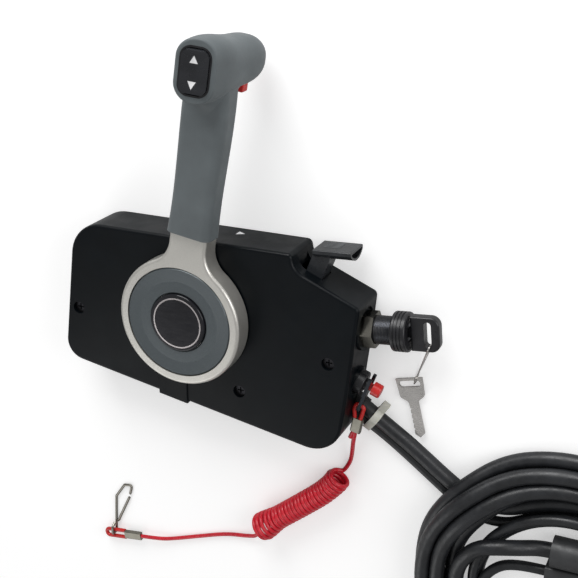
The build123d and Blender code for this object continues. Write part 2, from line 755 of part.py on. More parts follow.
with BuildPart() as grip:
    for share, turn, width, height, corner in knob_sections:
        centre = knob_start + knob_run * share
        with BuildSketch(lever_turned((centre.X, centre.Y, centre.Z), turn)):
            RectangleRounded(width, height, corner)
    loft()
    fillet(grip.faces().sort_by(Axis.Z)[-1].edges(), 1.6)
    fillet(grip.faces().filter_by(GeomType.PLANE).sort_by(Axis.Z)[0].edges(), 2.0)
    for along, across, height, width, depth in stem_sections:
        with BuildSketch(Plane(origin=lever_point(across, along, height), x_dir=lever.x_dir,
                               z_dir=lever.y_dir)):
            RectangleRounded(width, depth, stem_corner)
    loft()
    # pocket of the casting's tongue
    with BuildSketch(lever.offset(stem_axis_height - tongue_thickness / 2 - seat_gap)):
        with Locations((0, stem_start - 1.0)):
            Rectangle(2 * (tongue_half_width + seat_gap), tongue_length + 2.0,
                      align=(Align.CENTER, Align.MIN))
    extrude(amount=tongue_thickness + 2 * seat_gap, mode=Mode.SUBTRACT)
    # seat of the rear cover and its screw holes
    with BuildSketch(lever.offset(cover_base - 3.0)):
        with Locations((0, cover_mid)):
            RectangleRounded(grip_cover_width + 2 * seat_gap, cover_height + 2 * seat_gap, 3.0)
    extrude(amount=grip_cover_thickness + 3.0, mode=Mode.SUBTRACT)
    with BuildSketch(lever.offset(cover_base)):
        with Locations(*[(0, along) for along in grip_screw_places]):
            Circle(grip_screw_radius + slide_gap)
    extrude(amount=stem_axis_height - cover_base, mode=Mode.SUBTRACT)
    # pocket of the rocker frame
    with BuildSketch(face_plane.offset(-rocker_frame_depth)):
        RectangleRounded(rocker_frame_width, rocker_frame_height, rocker_frame_corner)
    extrude(amount=rocker_frame_depth + 5.0, mode=Mode.SUBTRACT)
    # slot of the lock trigger
    with BuildSketch(trigger_plane.offset(-trigger_length / 2 - slide_gap)):
        with Locations((0, trigger_low - trigger_centre.Y)):
            Rectangle(trigger_width + 2 * slide_gap, trigger_depth + trigger_travel + 1.0 - trigger_drop,
                      align=(Align.CENTER, Align.MIN))
    extrude(amount=trigger_length + 2 * slide_gap, mode=Mode.SUBTRACT)

with BuildPart() as grip_back_cover:
    with BuildSketch(lever.offset(cover_base)):
        with Locations((0, cover_mid)):
            RectangleRounded(grip_cover_width, cover_height, 3.0)
        with Locations(*[(0, along) for along in grip_screw_places]):
            Circle(grip_screw_radius + slide_gap, mode=Mode.SUBTRACT)
    extrude(amount=grip_cover_thickness)
    with BuildSketch(lever.offset(cover_base)):
        with Locations(*[(0, along) for along in grip_screw_places]):
            Circle(2 * grip_screw_radius + slide_gap)
    extrude(amount=1.4, mode=Mode.SUBTRACT)
with BuildPart() as grip_screws:
    for along in grip_screw_places:
        with BuildSketch(lever.offset(cover_base + 0.2)):
            with Locations((0, along)):
                Circle(2 * grip_screw_radius)
        extrude(amount=1.2)
        with BuildSketch(lever.offset(cover_base + 1.4)):
            with Locations((0, along)):
                Circle(grip_screw_radius)
        extrude(amount=stem_axis_height - cover_base - 1.4)
with BuildPart(mode=Mode.PRIVATE) as tongue_holes:
    with BuildSketch(lever.offset(cover_base)):
        with Locations(*[(0, along) for along in grip_screw_places]):
            Circle(grip_screw_radius + fit_gap)
    extrude(amount=stem_axis_height - cover_base + 1.0)
with BuildPart() as lever_casting:
    add(lever_arm.part)
    add(tongue_holes.part, mode=Mode.SUBTRACT)

rocker_inner_width = rocker_frame_width - 2 * seat_gap - 2 * rocker_frame_wall
rocker_plane = Plane(origin=face_plane.origin, x_dir=face_plane.y_dir, z_dir=face_plane.x_dir)
with BuildPart() as rocker_frame:
    with BuildSketch(face_plane.offset(-rocker_frame_depth)):
        RectangleRounded(rocker_frame_width - 2 * seat_gap, rocker_frame_height - 2 * seat_gap,
                         rocker_frame_corner - seat_gap)
    extrude(amount=rocker_frame_depth)
    with BuildSketch(face_plane.offset(-rocker_frame_depth + 1.2)):
        RectangleRounded(rocker_inner_width, rocker_frame_height - 2 * seat_gap - 2 * rocker_frame_wall,
                         rocker_frame_corner - rocker_frame_wall)
    extrude(amount=rocker_frame_depth, mode=Mode.SUBTRACT)
    with BuildSketch(rocker_plane.offset(-rocker_frame_width / 2)):
        with Locations((0, -rocker_pin_depth)):
            Circle(rocker_pin_radius)
    extrude(amount=rocker_frame_width, mode=Mode.SUBTRACT)
rocker_reach = rocker_swing_radius - 0.4
with BuildPart() as trim_rocker:
    with BuildSketch(face_plane.offset(-rocker_frame_depth)):
        RectangleRounded(rocker_inner_width - 2 * slide_gap, 2 * rocker_reach, rocker_frame_corner - 2.0)
    extrude(amount=rocker_frame_depth + rocker_rise)
    with BuildSketch(rocker_plane.offset(-rocker_frame_width)):
        with BuildLine():
            Polyline((-rocker_reach, -2.2), (0, -4.4), (rocker_reach, -2.2),
                     (rocker_reach, rocker_rise + 1.0), (12.6, rocker_rise), (0, rocker_rise - 1.2),
                     (-12.6, rocker_rise), (-rocker_reach, rocker_rise + 1.0), close=True)
        make_face()
        with Locations((0, -rocker_pin_depth)):
            Circle(rocker_reach, mode=Mode.INTERSECT)
    extrude(amount=2 * rocker_frame_width, mode=Mode.INTERSECT)
    with BuildSketch(rocker_plane.offset(-rocker_frame_width)):
        with Locations((0, -rocker_pin_depth)):
            Circle(rocker_pin_radius + fit_gap)
    extrude(amount=2 * rocker_frame_width, mode=Mode.SUBTRACT)
with BuildPart() as rocker_pin:
    with BuildSketch(rocker_plane.offset(-rocker_frame_width / 2 + seat_gap)):
        with Locations((0, -rocker_pin_depth)):
            Circle(rocker_pin_radius)
    extrude(amount=rocker_frame_width - 2 * seat_gap)
with BuildPart() as lock_trigger:
    with BuildSketch(trigger_plane.offset(-trigger_length / 2)):
        with Locations((0, trigger_low - trigger_centre.Y)):
            RectangleRounded(trigger_width, trigger_depth - trigger_drop, 1.6,
                             align=(Align.CENTER, Align.MIN))
    extrude(amount=trigger_length)
    fillet(lock_trigger.faces().sort_by(Axis(lever_point(0, 0, 0), lever.y_dir))[0].edges(), 1.2)
save(lever_casting, "lever_arm")
save(grip, "grip")
save(grip_back_cover, "grip_back_cover")
save(grip_screws, "grip_screws")
save(rocker_frame, "rocker_frame")
save(trim_rocker, "trim_rocker")
save(rocker_pin, "rocker_pin")
save(lock_trigger, "lock_trigger")

# Fast idle lever on its pin
idle_low = idle_slot_low + slide_gap
idle_high = idle_slot_high - slide_gap
tab_centre_z = tab_low_z + tab_width / 2
tab_plane = Plane(origin=(tab_start_x, tab_top_y - tab_length * sin(radians(tab_rise)), tab_centre_z),
                  x_dir=(0, 0, 1), z_dir=(cos(radians(tab_rise)), sin(radians(tab_rise)), 0))
with BuildPart() as fast_idle_lever:
    # on the tab's plane the second direction points down
    with BuildSketch(tab_plane):
        with BuildLine():
            Polyline((tab_width / 2, 3.0), (tab_width / 2, 0), (-tab_width / 2, 0), (-tab_width / 2, 3.0))
            ThreePointArc((-tab_width / 2, 3.0), (0, tab_thickness), (tab_width / 2, 3.0))
        make_face()
    extrude(amount=tab_length)
    tab_edges = fast_idle_lever.edges().filter_by(Axis(tab_plane.origin, tab_plane.z_dir))
    fillet(tab_edges.group_by(Axis.Y)[-1], 1.0)
    with BuildSketch(tab_plane.offset(tab_length - tab_pocket)):
        with BuildLine():
            Polyline((tab_width / 2 - tab_wall, 3.0), (tab_width / 2 - tab_wall, tab_wall),
                     (-tab_width / 2 + tab_wall, tab_wall), (-tab_width / 2 + tab_wall, 3.0))
            ThreePointArc((-tab_width / 2 + tab_wall, 3.0), (0, tab_thickness - tab_wall),
                          (tab_width / 2 - tab_wall, 3.0))
        make_face()
    extrude(amount=tab_pocket, mode=Mode.SUBTRACT)
    with BuildSketch(Plane.XY.offset(idle_low)):
        with Locations(idle_pivot):
            Circle(idle_hub_radius)
        with BuildLine():
            Polyline((idle_pivot[0] - 5.5, idle_pivot[1] + 5.0),
                     (tab_start_x, tab_top_y - 3.5), (tab_start_x + 13.0, tab_top_y - 3.5),
                     (tab_start_x + 12.0, tab_top_y - 9.5),
                     (idle_pivot[0] + 7.3, idle_pivot[1] + 1.0), close=True)
        make_face()
    extrude(amount=idle_high - idle_low)
    with BuildSketch(Plane.XY.offset(idle_low)):
        with Locations(idle_pivot):
            Circle(idle_pin_radius + fit_gap)
    extrude(amount=idle_high - idle_low, mode=Mode.SUBTRACT)
with BuildPart() as fast_idle_pin:
    with BuildSketch(Plane((idle_pivot[0], idle_pivot[1], back_thickness - 2.0 + seat_gap))):
        Circle(idle_pin_radius)
    extrude(amount=cavity_top - back_thickness + 2.0 - 2 * seat_gap)
save(fast_idle_lever, "fast_idle_lever")
save(fast_idle_pin, "fast_idle_pin")


# Key switch, keys and the wire that joins them
def key_point(along, side=0.0, height=0.0):
    """A point given along the key axis, to its side and above it."""
    return key_plane.from_local_coords(Vector(height, -side, along))


plug_start = 6.0
plug_end = key_barrel_length + 3.0
key_start = key_collar_start + key_collar_length + 1.0
blade_end = key_start - 3.0 - key_blade_depth
with BuildPart() as key_switch_body:
    with BuildSketch(key_plane.offset(-key_boss_depth - key_body_length)):
        Circle(key_body_radius)
    extrude(amount=key_body_length)
    with BuildSketch(key_plane.offset(-key_boss_depth)):
        Circle(key_barrel_radius)
    extrude(amount=key_boss_depth + key_barrel_length)
    with BuildSketch(key_plane.offset(plug_start - seat_gap)):
        Circle(plug_radius + fit_gap)
    extrude(amount=key_barrel_length, mode=Mode.SUBTRACT)
with BuildPart() as key_switch_nut:
    with BuildSketch(key_plane):
        RegularPolygon(key_nut_flats / 2, 6, major_radius=False, rotation=0)
    extrude(amount=key_nut_height)
    with BuildSketch(key_plane):
        Circle(key_nut_flats / 2 * 1.13)
    extrude(amount=key_nut_height, mode=Mode.INTERSECT, taper=0)
    with BuildSketch(key_plane):
        Circle(key_barrel_radius + fit_gap)
    extrude(amount=key_nut_height, mode=Mode.SUBTRACT)
with BuildPart() as key_collar:
    with BuildSketch(key_plane.offset(key_collar_start)):
        Circle(key_collar_radius)
    extrude(amount=key_collar_length)
    fillet(key_collar.edges().filter_by(GeomType.CIRCLE), 1.4)
    for along in (3.4, 6.0, 8.6):
        with BuildSketch(key_plane.offset(key_collar_start + along - 0.6)):
            Circle(key_collar_radius + 1.0)
            Circle(key_collar_radius - 0.7, mode=Mode.SUBTRACT)
        extrude(amount=1.2, mode=Mode.SUBTRACT)
    with BuildSketch(key_plane.offset(key_collar_start)):
        Circle(key_barrel_radius + fit_gap)
    extrude(amount=key_barrel_length - key_collar_start, mode=Mode.SUBTRACT)
    with BuildSketch(key_plane.offset(key_collar_start)):
        Circle(plug_radius + slide_gap)
    extrude(amount=key_collar_length, mode=Mode.SUBTRACT)
with BuildPart() as lock_plug:
    with BuildSketch(key_plane.offset(plug_start)):
        Circle(plug_radius)
    extrude(amount=plug_end - plug_start)
    with BuildSketch(key_plane.offset(blade_end - seat_gap)):
        Rectangle(key_blade_thickness + 2 * seat_gap, key_blade_width + 2 * seat_gap)
    extrude(amount=key_blade_depth + 10.0, mode=Mode.SUBTRACT)
head_plane = Plane(origin=key_point(key_start, 0, -key_head_thickness / 2), x_dir=key_dir, z_dir=(0, 0, 1))
with BuildPart() as key:
    with BuildSketch(head_plane):
        with Locations((key_head_length / 2, 0)):
            Rectangle(key_head_length, key_head_width)
    extrude(amount=key_head_thickness)
    far_corners = key.edges().filter_by(Axis.Z).sort_by(Axis(key_plane.origin, key_dir))[-2:]
    fillet(far_corners, 7.0)
    fillet(key.faces().sort_by(Axis.Z)[-1].edges() + key.faces().sort_by(Axis.Z)[0].edges(), 1.6)
    with BuildSketch(head_plane):
        with Locations((key_head_length - 9.0, 0)):
            SlotOverall(key_slot_length, key_slot_width, rotation=90)
    extrude(amount=key_head_thickness, mode=Mode.SUBTRACT)
    with BuildSketch(key_plane.offset(blade_end)):
        Rectangle(key_blade_thickness, key_blade_width)
    extrude(amount=key_start + 1.0 - blade_end)
wire_rise = (Vector(*wire_points[0]) - Vector(*wire_points[-1])).normalized()
wire_joint = Vector(*wire_points[-1]) + wire_rise * 7.0
with BuildPart() as key_wire:
    with BuildLine() as wire_route:
        FilletPolyline(wire_joint + wire_rise * 0.1, *wire_points, wire_joint - wire_rise * 0.1,
                       radius=wire_bend)
    with BuildSketch(Plane(origin=wire_route.line @ 0, z_dir=wire_route.line % 0)):
        Circle(wire_radius)
    sweep()
    with BuildSketch(Plane(origin=wire_joint - wire_rise * wire_sleeve_length / 2, z_dir=wire_rise)):
        Circle(wire_sleeve_radius)
    extrude(amount=wire_sleeve_length)
spare_plane = Plane(origin=(spare_top_centre[0], spare_top_centre[1], spare_lift),
                    x_dir=(cos(radians(spare_lean)), sin(radians(spare_lean)), 0), z_dir=(0, 0, 1))
with BuildPart() as spare_key:
    with BuildSketch(spare_plane):
        with BuildLine():
            Polyline((-spare_head_width / 2, 0), (spare_head_width / 2, 0),
                     (spare_head_width / 2 - 1.0, -spare_head_length + 4.0),
                     (spare_blade_width / 2, -spare_head_length),
                     (spare_blade_width / 2, 3.0 - spare_head_length - spare_blade_length),
                     (0, -spare_head_length - spare_blade_length),
                     (-spare_blade_width / 2, 3.0 - spare_head_length - spare_blade_length),
                     (-spare_blade_width / 2, -spare_head_length),
                     (-spare_head_width / 2 + 1.0, -spare_head_length + 4.0), close=True)
        spare_outline = make_face()
        fillet(spare_outline.vertices().filter_by(lambda v: abs(v.Y + spare_head_length - 2.0) < 2.5),
               spare_shoulder_radius)
        with Locations((0, -spare_rim - spare_slot_height / 2)):
            SlotOverall(spare_slot_width, spare_slot_height, mode=Mode.SUBTRACT)
        for step in range(5):
            with Locations((-spare_blade_width / 2, -spare_head_length - 6.0 - 4.2 * step)):
                RegularPolygon(1.5, 3, mode=Mode.SUBTRACT)
    extrude(amount=spare_plate)
save(key_switch_body, "key_switch_body")
save(key_switch_nut, "key_switch_nut")
save(key_collar, "key_collar")
save(lock_plug, "lock_plug")
save(key, "key")
save(key_wire, "key_wire")
save(spare_key, "spare_key")

# Stop switch with its lock plate. On its plane the first direction is down along the plate.
with BuildPart() as stop_switch_body:
    with BuildSketch(stop_plane.offset(-22.0)):
        Circle(stop_boss_radius - case_wall - slide_gap)
    extrude(amount=22.0 - case_wall - seat_gap)
    with BuildSketch(stop_plane.offset(-case_wall - seat_gap)):
        Circle(stop_thread_radius)
    extrude(amount=case_wall + seat_gap + stop_nut_height)
    with BuildSketch(stop_plane.offset(stop_nut_height)):
        Circle(stop_thread_radius - 0.8)
    extrude(amount=stop_neck_end - stop_nut_height)
    with BuildSketch(stop_plane.offset(-6.0)):
        Circle(stop_stem_radius + fit_gap)
    extrude(amount=6.0 + stop_neck_end, mode=Mode.SUBTRACT)
with BuildPart() as stop_switch_nut:
    with BuildSketch(stop_plane):
        Circle(stop_nut_radius)
    extrude(amount=stop_nut_height)
    fillet(stop_switch_nut.edges().filter_by(GeomType.CIRCLE).group_by(Axis.X)[-1], 1.4)
    with BuildSketch(stop_plane):
        Circle(stop_thread_radius + fit_gap)
    extrude(amount=stop_nut_height, mode=Mode.SUBTRACT)
with BuildPart() as stop_button:
    with BuildSketch(stop_plane.offset(-6.0 + stop_travel + 1.0)):
        Circle(stop_stem_radius)
    extrude(amount=stop_button_start + 6.0 - stop_travel)
    with BuildSketch(stop_plane.offset(stop_button_start)):
        Circle(stop_button_radius)
    extrude(amount=stop_button_length)
    fillet(stop_button.faces().sort_by(Axis(stop_plane.origin, stop_dir))[-1].edges(), 1.2)
plate_start = stop_neck_end + slide_gap
with BuildPart() as lock_plate:
    with BuildSketch(stop_plane.offset(plate_start)):
        Rectangle(16.0, lock_plate_width)
        Rectangle(lock_plate_reach, lock_tail_width, align=(Align.MIN, Align.CENTER))
        with Locations((-8.0, 0)):
            Rectangle(8.0, 2 * (stop_stem_radius + slide_gap), mode=Mode.SUBTRACT,
                      align=(Align.MIN, Align.CENTER))
        Circle(stop_stem_radius + slide_gap, mode=Mode.SUBTRACT)
        with Locations((lock_eye, 0)):
            Circle(lock_eye_radius, mode=Mode.SUBTRACT)
    extrude(amount=lock_plate_thickness)
plate_mid = plate_start + lock_plate_thickness / 2


def stop_point(down, out):
    """A point given down along the lock plate and out along the switch axis."""
    return stop_plane.from_local_coords(Vector(down, 0, out))


crimp_run = Vector(*crimp_end) - Vector(*crimp_top)
crimp_plane = Plane(origin=crimp_top, x_dir=(0, 0, 1), z_dir=crimp_run)
with BuildPart() as lanyard_crimp:
    with BuildSketch(crimp_plane):
        RectangleRounded(crimp_thickness, crimp_width, 1.2)
    extrude(amount=crimp_run.length)
with BuildPart() as lanyard_loop:
    with BuildLine() as loop_route:
        FilletPolyline(stop_point(lock_eye, plate_mid - loop_half_width),
                       stop_point(lock_eye, plate_mid + loop_half_width),
                       stop_point(loop_drop, plate_mid + loop_low_out + loop_low_half_width),
                       stop_point(loop_drop, plate_mid + loop_low_out - loop_low_half_width),
                       stop_point(loop_turn_drop, plate_mid - loop_half_width), radius=1.8, close=True)
    with BuildSketch(Plane(origin=loop_route.line @ 0, z_dir=loop_route.line % 0)):
        Circle(loop_strap_radius)
    sweep()
    with BuildSketch(crimp_plane):
        Rectangle(20.0, 20.0)
    extrude(amount=20.0, mode=Mode.SUBTRACT)
hook_start = Vector(*cord_lead_points[-1])
hook_dir = (hook_start - Vector(*cord_lead_points[-2])).normalized()
hook_crimp_plane = Plane(origin=hook_start, x_dir=(0, 0, 1), z_dir=hook_dir)
eye_plane = hook_crimp_plane.offset(hook_crimp_length)
with BuildPart() as hook_crimp:
    with BuildSketch(hook_crimp_plane):
        RectangleRounded(hook_crimp_thickness, hook_crimp_width, 1.2)
    extrude(amount=hook_crimp_length)
with BuildPart() as lanyard_eye:
    with BuildLine() as eye_route:
        FilletPolyline(*[eye_plane.from_local_coords(Vector(0, side, out)) for side, out in
                         [(-eye_half_width, -8.0), (eye_half_width, -8.0),
                          (eye_half_width, eye_length - 1.75), (-eye_half_width, eye_length - 1.75)]],
                       radius=3.0, close=True)
    with BuildSketch(Plane(origin=eye_route.line @ 0, z_dir=eye_route.line % 0)):
        Circle(cord_diameter / 2)
    sweep()
    with BuildSketch(eye_plane):
        Rectangle(20.0, 20.0)
    extrude(amount=-20.0, mode=Mode.SUBTRACT)
with BuildPart() as snap_hook:
    with BuildLine() as hook_route:
        FilletPolyline(*hook_points, radius=1.8)
    with BuildSketch(Plane(origin=hook_route.line @ 0, z_dir=hook_route.line % 0)):
        Circle(hook_wire_radius)
    sweep()
gate_run = Vector(*gate_points[1]) - Vector(*gate_points[0])
with BuildPart() as hook_gate:
    with BuildSketch(Plane(origin=gate_points[0], z_dir=gate_run)):
        Circle(hook_wire_radius)
    extrude(amount=gate_run.length)
    # knuckle on the hinge's axis
    with BuildSketch():
        with Locations(gate_points[1][:2]):
            Circle(hook_wire_radius)
    extrude(amount=gate_points[1][2] + hook_wire_radius)
save(stop_switch_body, "stop_switch_body")
save(stop_switch_nut, "stop_switch_nut")
save(stop_button, "stop_button")
save(lock_plate, "lock_plate")
save(lanyard_loop, "lanyard_loop")
save(lanyard_crimp, "lanyard_crimp")
save(hook_crimp, "hook_crimp")
save(lanyard_eye, "lanyard_eye")
save(snap_hook, "snap_hook")
save(hook_gate, "hook_gate")

lanyard_cord = build_tube(cord_top_points, cord_diameter, "lanyard cord")
lanyard_coil = build_tube(cord_coil_points, cord_coil_diameter, "lanyard coil")
lanyard_lead = build_tube(cord_lead_points, cord_diameter, "lanyard lead")
main_route = [outlet_plane.from_local_coords(Vector(outlet_main[0], outlet_main[1], outlet_face + run))
              for run in (0, outlet_run)] + [Vector(*point) for point in main_cable_points]
trim_route = [outlet_plane.from_local_coords(Vector(outlet_trim[0], outlet_trim[1], outlet_face + run))
              for run in (0, outlet_run)] + [Vector(*point) for point in trim_cable_points]
main_cable = build_tube(main_route, main_cable_diameter, "main cable")
trim_cable = build_tube(trim_route, trim_cable_diameter, "trim cable")
main_tail = build_tube(main_tail_points, main_cable_diameter, "main tail")
trim_tail = build_tube(trim_tail_points, trim_cable_diameter, "trim tail")
save(lanyard_cord, "lanyard_cord")
save(lanyard_coil, "lanyard_coil")
save(lanyard_lead, "lanyard_lead")
save(main_cable, "main_cable")
save(trim_cable, "trim_cable")
save(main_tail, "main_tail")
save(trim_tail, "trim_tail")

with BuildPart() as cable_grommet:
    with BuildSketch(outlet_plane.offset(-outlet_depth)):
        add(around_pair(outlet_main, outlet_trim, grommet_wall))
    extrude(amount=outlet_depth + outlet_face)
main_run = main_route[2] - main_route[1]
trim_run = trim_route[2] - trim_route[1]
tie_along = main_run + trim_run
tie_main = main_route[1] + main_run * tie_share
tie_trim = trim_route[1] + trim_run * tie_share
tie_plane = Plane(origin=tie_main, x_dir=outlet_side, z_dir=tie_along)
tie_local = tie_plane.to_local_coords(tie_trim)
tie_trim_at = (tie_local.X, tie_local.Y)
with BuildPart() as cable_tie:
    with BuildSketch(tie_plane.offset(-tie_width / 2)):
        add(around_pair((0, 0), tie_trim_at, slide_gap + tie_band))
        add(around_pair((0, 0), tie_trim_at, slide_gap), mode=Mode.SUBTRACT)
    extrude(amount=tie_width)
    with BuildSketch(tie_plane.offset(-tie_width / 2)):
        with Locations((main_cable_diameter / 2 + slide_gap + tie_band / 2, 0)):
            Rectangle(tie_head_length, tie_head_thickness, align=(Align.MIN, Align.CENTER))
    extrude(amount=tie_width)
save(cable_grommet, "cable_grommet")
save(cable_tie, "cable_tie")

# The coiled length of both cables is one closed solid with flat places for the tubes
entry_dir = Vector(cos(radians(coil_entry_fall)), -sin(radians(coil_entry_fall)), 0)
coil_plane = Plane(origin=(coil_centre[0], coil_centre[1], 0), x_dir=entry_dir, z_dir=(0, 0, 1))
with BuildPart() as cable_coil:
    with BuildSketch(coil_plane):
        Circle(coil_outer_radius)
        Circle(coil_inner_radius, mode=Mode.SUBTRACT)
    extrude(amount=coil_height)
    fillet(cable_coil.faces().sort_by(Axis.Z)[-1].edges(), 6.0)
    with BuildSketch(coil_plane):
        Circle(coil_outer_radius - 3.0)
        Circle(coil_inner_radius + 3.0, mode=Mode.SUBTRACT)
        with Locations((-coil_outer_radius, 0)):
            Rectangle(2 * coil_outer_radius, 2 * coil_hump_half_width, mode=Mode.INTERSECT)
    extrude(amount=coil_hump_height)
    fillet(cable_coil.faces().sort_by(Axis.Z)[-1].edges(), 5.0)
    with BuildSketch(coil_plane):
        with Locations((-coil_entry_cut, 0)):
            Rectangle(20.0, 2 * coil_outer_radius, align=(Align.MAX, Align.CENTER))
    extrude(amount=coil_hump_height + 1.0, mode=Mode.SUBTRACT)
    for tail in (main_tail_points, trim_tail_points):
        with BuildSketch(Plane.XY):
            with Locations((tail[0][0], tail[0][1])):
                Rectangle(6.0, 18.0, align=(Align.MIN, Align.CENTER))
        extrude(amount=20.0, mode=Mode.SUBTRACT)
with BuildPart() as main_plug:
    with BuildSketch(Plane(origin=main_tail_points[-1], z_dir=(1, 0, 0))):
        Circle(main_plug_radius)
    extrude(amount=main_plug_length)
    with BuildSketch(Plane(origin=main_tail_points[-1], z_dir=(1, 0, 0)).offset(main_plug_length)):
        Circle(main_plug_radius - 2.0)
    extrude(amount=-12.0, mode=Mode.SUBTRACT)
with BuildPart() as trim_plug:
    with BuildSketch(Plane(origin=trim_tail_points[-1], z_dir=(1, 0, 0))):
        RectangleRounded(trim_plug_width, trim_plug_width, 2.0)
    extrude(amount=trim_plug_length)
    with BuildSketch(Plane(origin=trim_tail_points[-1], z_dir=(1, 0, 0)).offset(trim_plug_length)):
        RectangleRounded(trim_plug_width - 4.0, trim_plug_width - 4.0, 1.0)
    extrude(amount=-8.0, mode=Mode.SUBTRACT)
save(cable_coil, "cable_coil")
save(main_plug, "main_plug")
save(trim_plug, "trim_plug")
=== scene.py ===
from math import cos, pi, radians, sin

import bmesh
import bpy
import numpy as np
from mathutils import Matrix, Vector


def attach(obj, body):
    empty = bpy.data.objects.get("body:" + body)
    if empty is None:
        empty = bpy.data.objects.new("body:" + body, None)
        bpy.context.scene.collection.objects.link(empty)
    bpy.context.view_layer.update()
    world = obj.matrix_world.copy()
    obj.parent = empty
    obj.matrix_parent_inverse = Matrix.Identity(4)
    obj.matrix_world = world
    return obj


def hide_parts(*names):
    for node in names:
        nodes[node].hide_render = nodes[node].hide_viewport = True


bl_info = {
    "name": "Side-mount throttle control",
    "version": (1, 0, 0),
    "blender": (4, 5, 0),
    "location": "View3D > Sidebar > Throttle control",
    "description": "Dresses an outboard's side-mount control, with its key, lanyard and harness",
    "category": "Object",
}

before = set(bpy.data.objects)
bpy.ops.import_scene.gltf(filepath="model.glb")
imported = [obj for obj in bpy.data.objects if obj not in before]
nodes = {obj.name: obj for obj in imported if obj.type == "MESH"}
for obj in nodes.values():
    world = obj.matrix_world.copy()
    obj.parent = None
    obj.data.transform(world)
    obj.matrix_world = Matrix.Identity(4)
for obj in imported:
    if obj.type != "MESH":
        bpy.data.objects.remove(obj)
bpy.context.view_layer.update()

# Directions and places in metres, in the part's frame
UP = Vector((0, 0, 1))
LEVER_LEAN = radians(9)                     # towards the key end, in neutral
LEVER_ALONG = Vector((sin(LEVER_LEAN), cos(LEVER_LEAN), 0))
LEVER_ACROSS = Vector((cos(LEVER_LEAN), -sin(LEVER_LEAN), 0))
KEY_START = Vector((.1378, .005, .020))     # where the key barrel comes out of the case
KEY_WAY = Vector((.99523, .09758, 0))       # the barrel's direction

# Routes that the cords share with the solid model's tubes
MAIN_ROUTE = [(.13555, -.06616, .0084), (.14214, -.07069, .0084), (.1540, -.0789, .0080),
              (.1720, -.0916, .0064), (.20637, -.11733, .0064)]
TRIM_ROUTE = [(.12989, -.07440, .0066), (.13648, -.07893, .0066), (.1484, -.0870, .0049),
              (.1662, -.0996, .0042), (.2004, -.1252, .0042)]
LANYARD_TOP = [(.1310, -.0837, .0176), (.12866, -.0939, .01589), (.1252, -.1087, .0080),
               (.12181, -.12096, .0022), (.1162, -.1315, .0022)]
LANYARD_LEAD = [(.05062, -.20402, .0067), (.04143, -.21173, .0067), (.0280, -.2180, .0026),
                (.0080, -.2216, .0020), (-.0180, -.2312, .0020), (-.0500, -.2431, .0026),
                (-.0620, -.2447, .0046), (-.0790, -.2470, .0046)]

# The ring of cable: the points by which each cable comes in (distance from the ring's centre,
# place beside the entry line, height), its turns (count, radius, height) and its way to the plug
RING_CENTRE = Vector((.302, -.194, 0))
ENTRY_TURN = radians(143.17)                # the entry line's angle, seen from the ring's centre
MAIN_ENTRY = [(.1048, .0064, .0064), (.0909, .0130, .0064), (.0796, .0234, .0064)]
MAIN_FIRST_ANGLE = radians(25)
MAIN_TURNS = [(0, .0805, .0064), (3, .1180, .0060), (3.4, .1180, .0178), (5.66, .0905, .0178)]
MAIN_TAIL = [(.2165, -.2010, .0190), (.2200, -.1760, .0225), (.2330, -.1565, .0255),
             (.2500, -.1520, .0250), (.2650, -.1520, .0190), (.2790, -.1520, .0122),
             (.2880, -.1520, .0122)]
TRIM_ENTRY = [(.1060, -.0058, .0042), (.0931, -.0039, .0042), (.0808, .0022, .0042),
              (.0709, .0117, .0042)]
TRIM_FIRST_ANGLE = radians(20)
TRIM_TURNS = [(0, .0690, .0042), (.72, .0690, .0042), (.94, .0695, .0126), (1.70, .0695, .0126),
              (1.94, .0740, .0180), (2.6, .0740, .0185)]
TRIM_TAIL = [(.2350, -.2200, .0185), (.2340, -.2030, .0175), (.2400, -.1850, .0155),
             (.2500, -.1758, .0130), (.2600, -.1740, .0100), (.2740, -.1740, .0077),
             (.2840, -.1740, .0077)]
CROSSING_RISE = .0126     # how far the main cable climbs over the cables that come in
CROSSING_SIDE = .004      # the crossing's middle, beside the entry line
CROSSING_HALF = .014      # half the length of its level top
CROSSING_SLOPE = .036     # the length of its climb
FLOOR_TURN = .5           # the first half turn lies on the floor, beside the entry

# The curly part of the lanyard. Widths are shares of the helix radius, and places along the curl
# shares of its length. A steepness is 1 over the share of the length that a change takes
CURL_AXIS = [(.1162, -.1315, .0118), (.1096, -.1439, .0120), (.0800, -.1700, .0120),
             (.0460, -.1985, .0118)]
CURL_POINTS = 14          # in each turn
CURL_OVERRUN = .18        # of a turn, past the last whole one
CURL_WIDTH = .86
HOOK_FLARE = .25          # added towards the hook
HOOK_FLARE_START = .76
HOOK_FLARE_STEEPNESS = 5
TOP_FLARE = .05           # added towards the top
TOP_FLARE_END = .16
TOP_FLARE_STEEPNESS = 7
FIRST_TURN_WIDTH = .80
FIRST_TURN_GROWTH = .20
LAST_TURN_WIDTH = .82
LAST_TURN_GROWTH = .18
END_TURN_STEEPNESS = 26
TURN_STRAY = .0002        # metres that the turns stray along the axis
STRAY_PACE = .5           # strays in each turn
STRAY_DRIFT = 9           # radians that the straying shifts over the whole curl
CORD_REST = .0020         # height of the cord's middle where it lies on the floor
CORD_CUT_END = [(.1318, -.0800, .0184), (.1286, -.0853, .0178), (.1266, -.0905, .0172)]

# The fillet between the grip's stem and its knob. Places are along the lever from the hub, and
# heights above the floor
FILLET_START = .152
CREASE_AT = .1840
CREASE_REACH = .0240      # to either side of the crease
CREASE_FADE = .0120
CREASE_LOW = .0300
CREASE_LOW_FADE = .0080
CREASE_HIGH = .0755
CREASE_HIGH_FADE = .0060
FILLET_INSET = .00012     # keeps the piece inside the grip where it isn't smoothed
SAME_POINT = .00001
SMOOTHING_STEP = .5

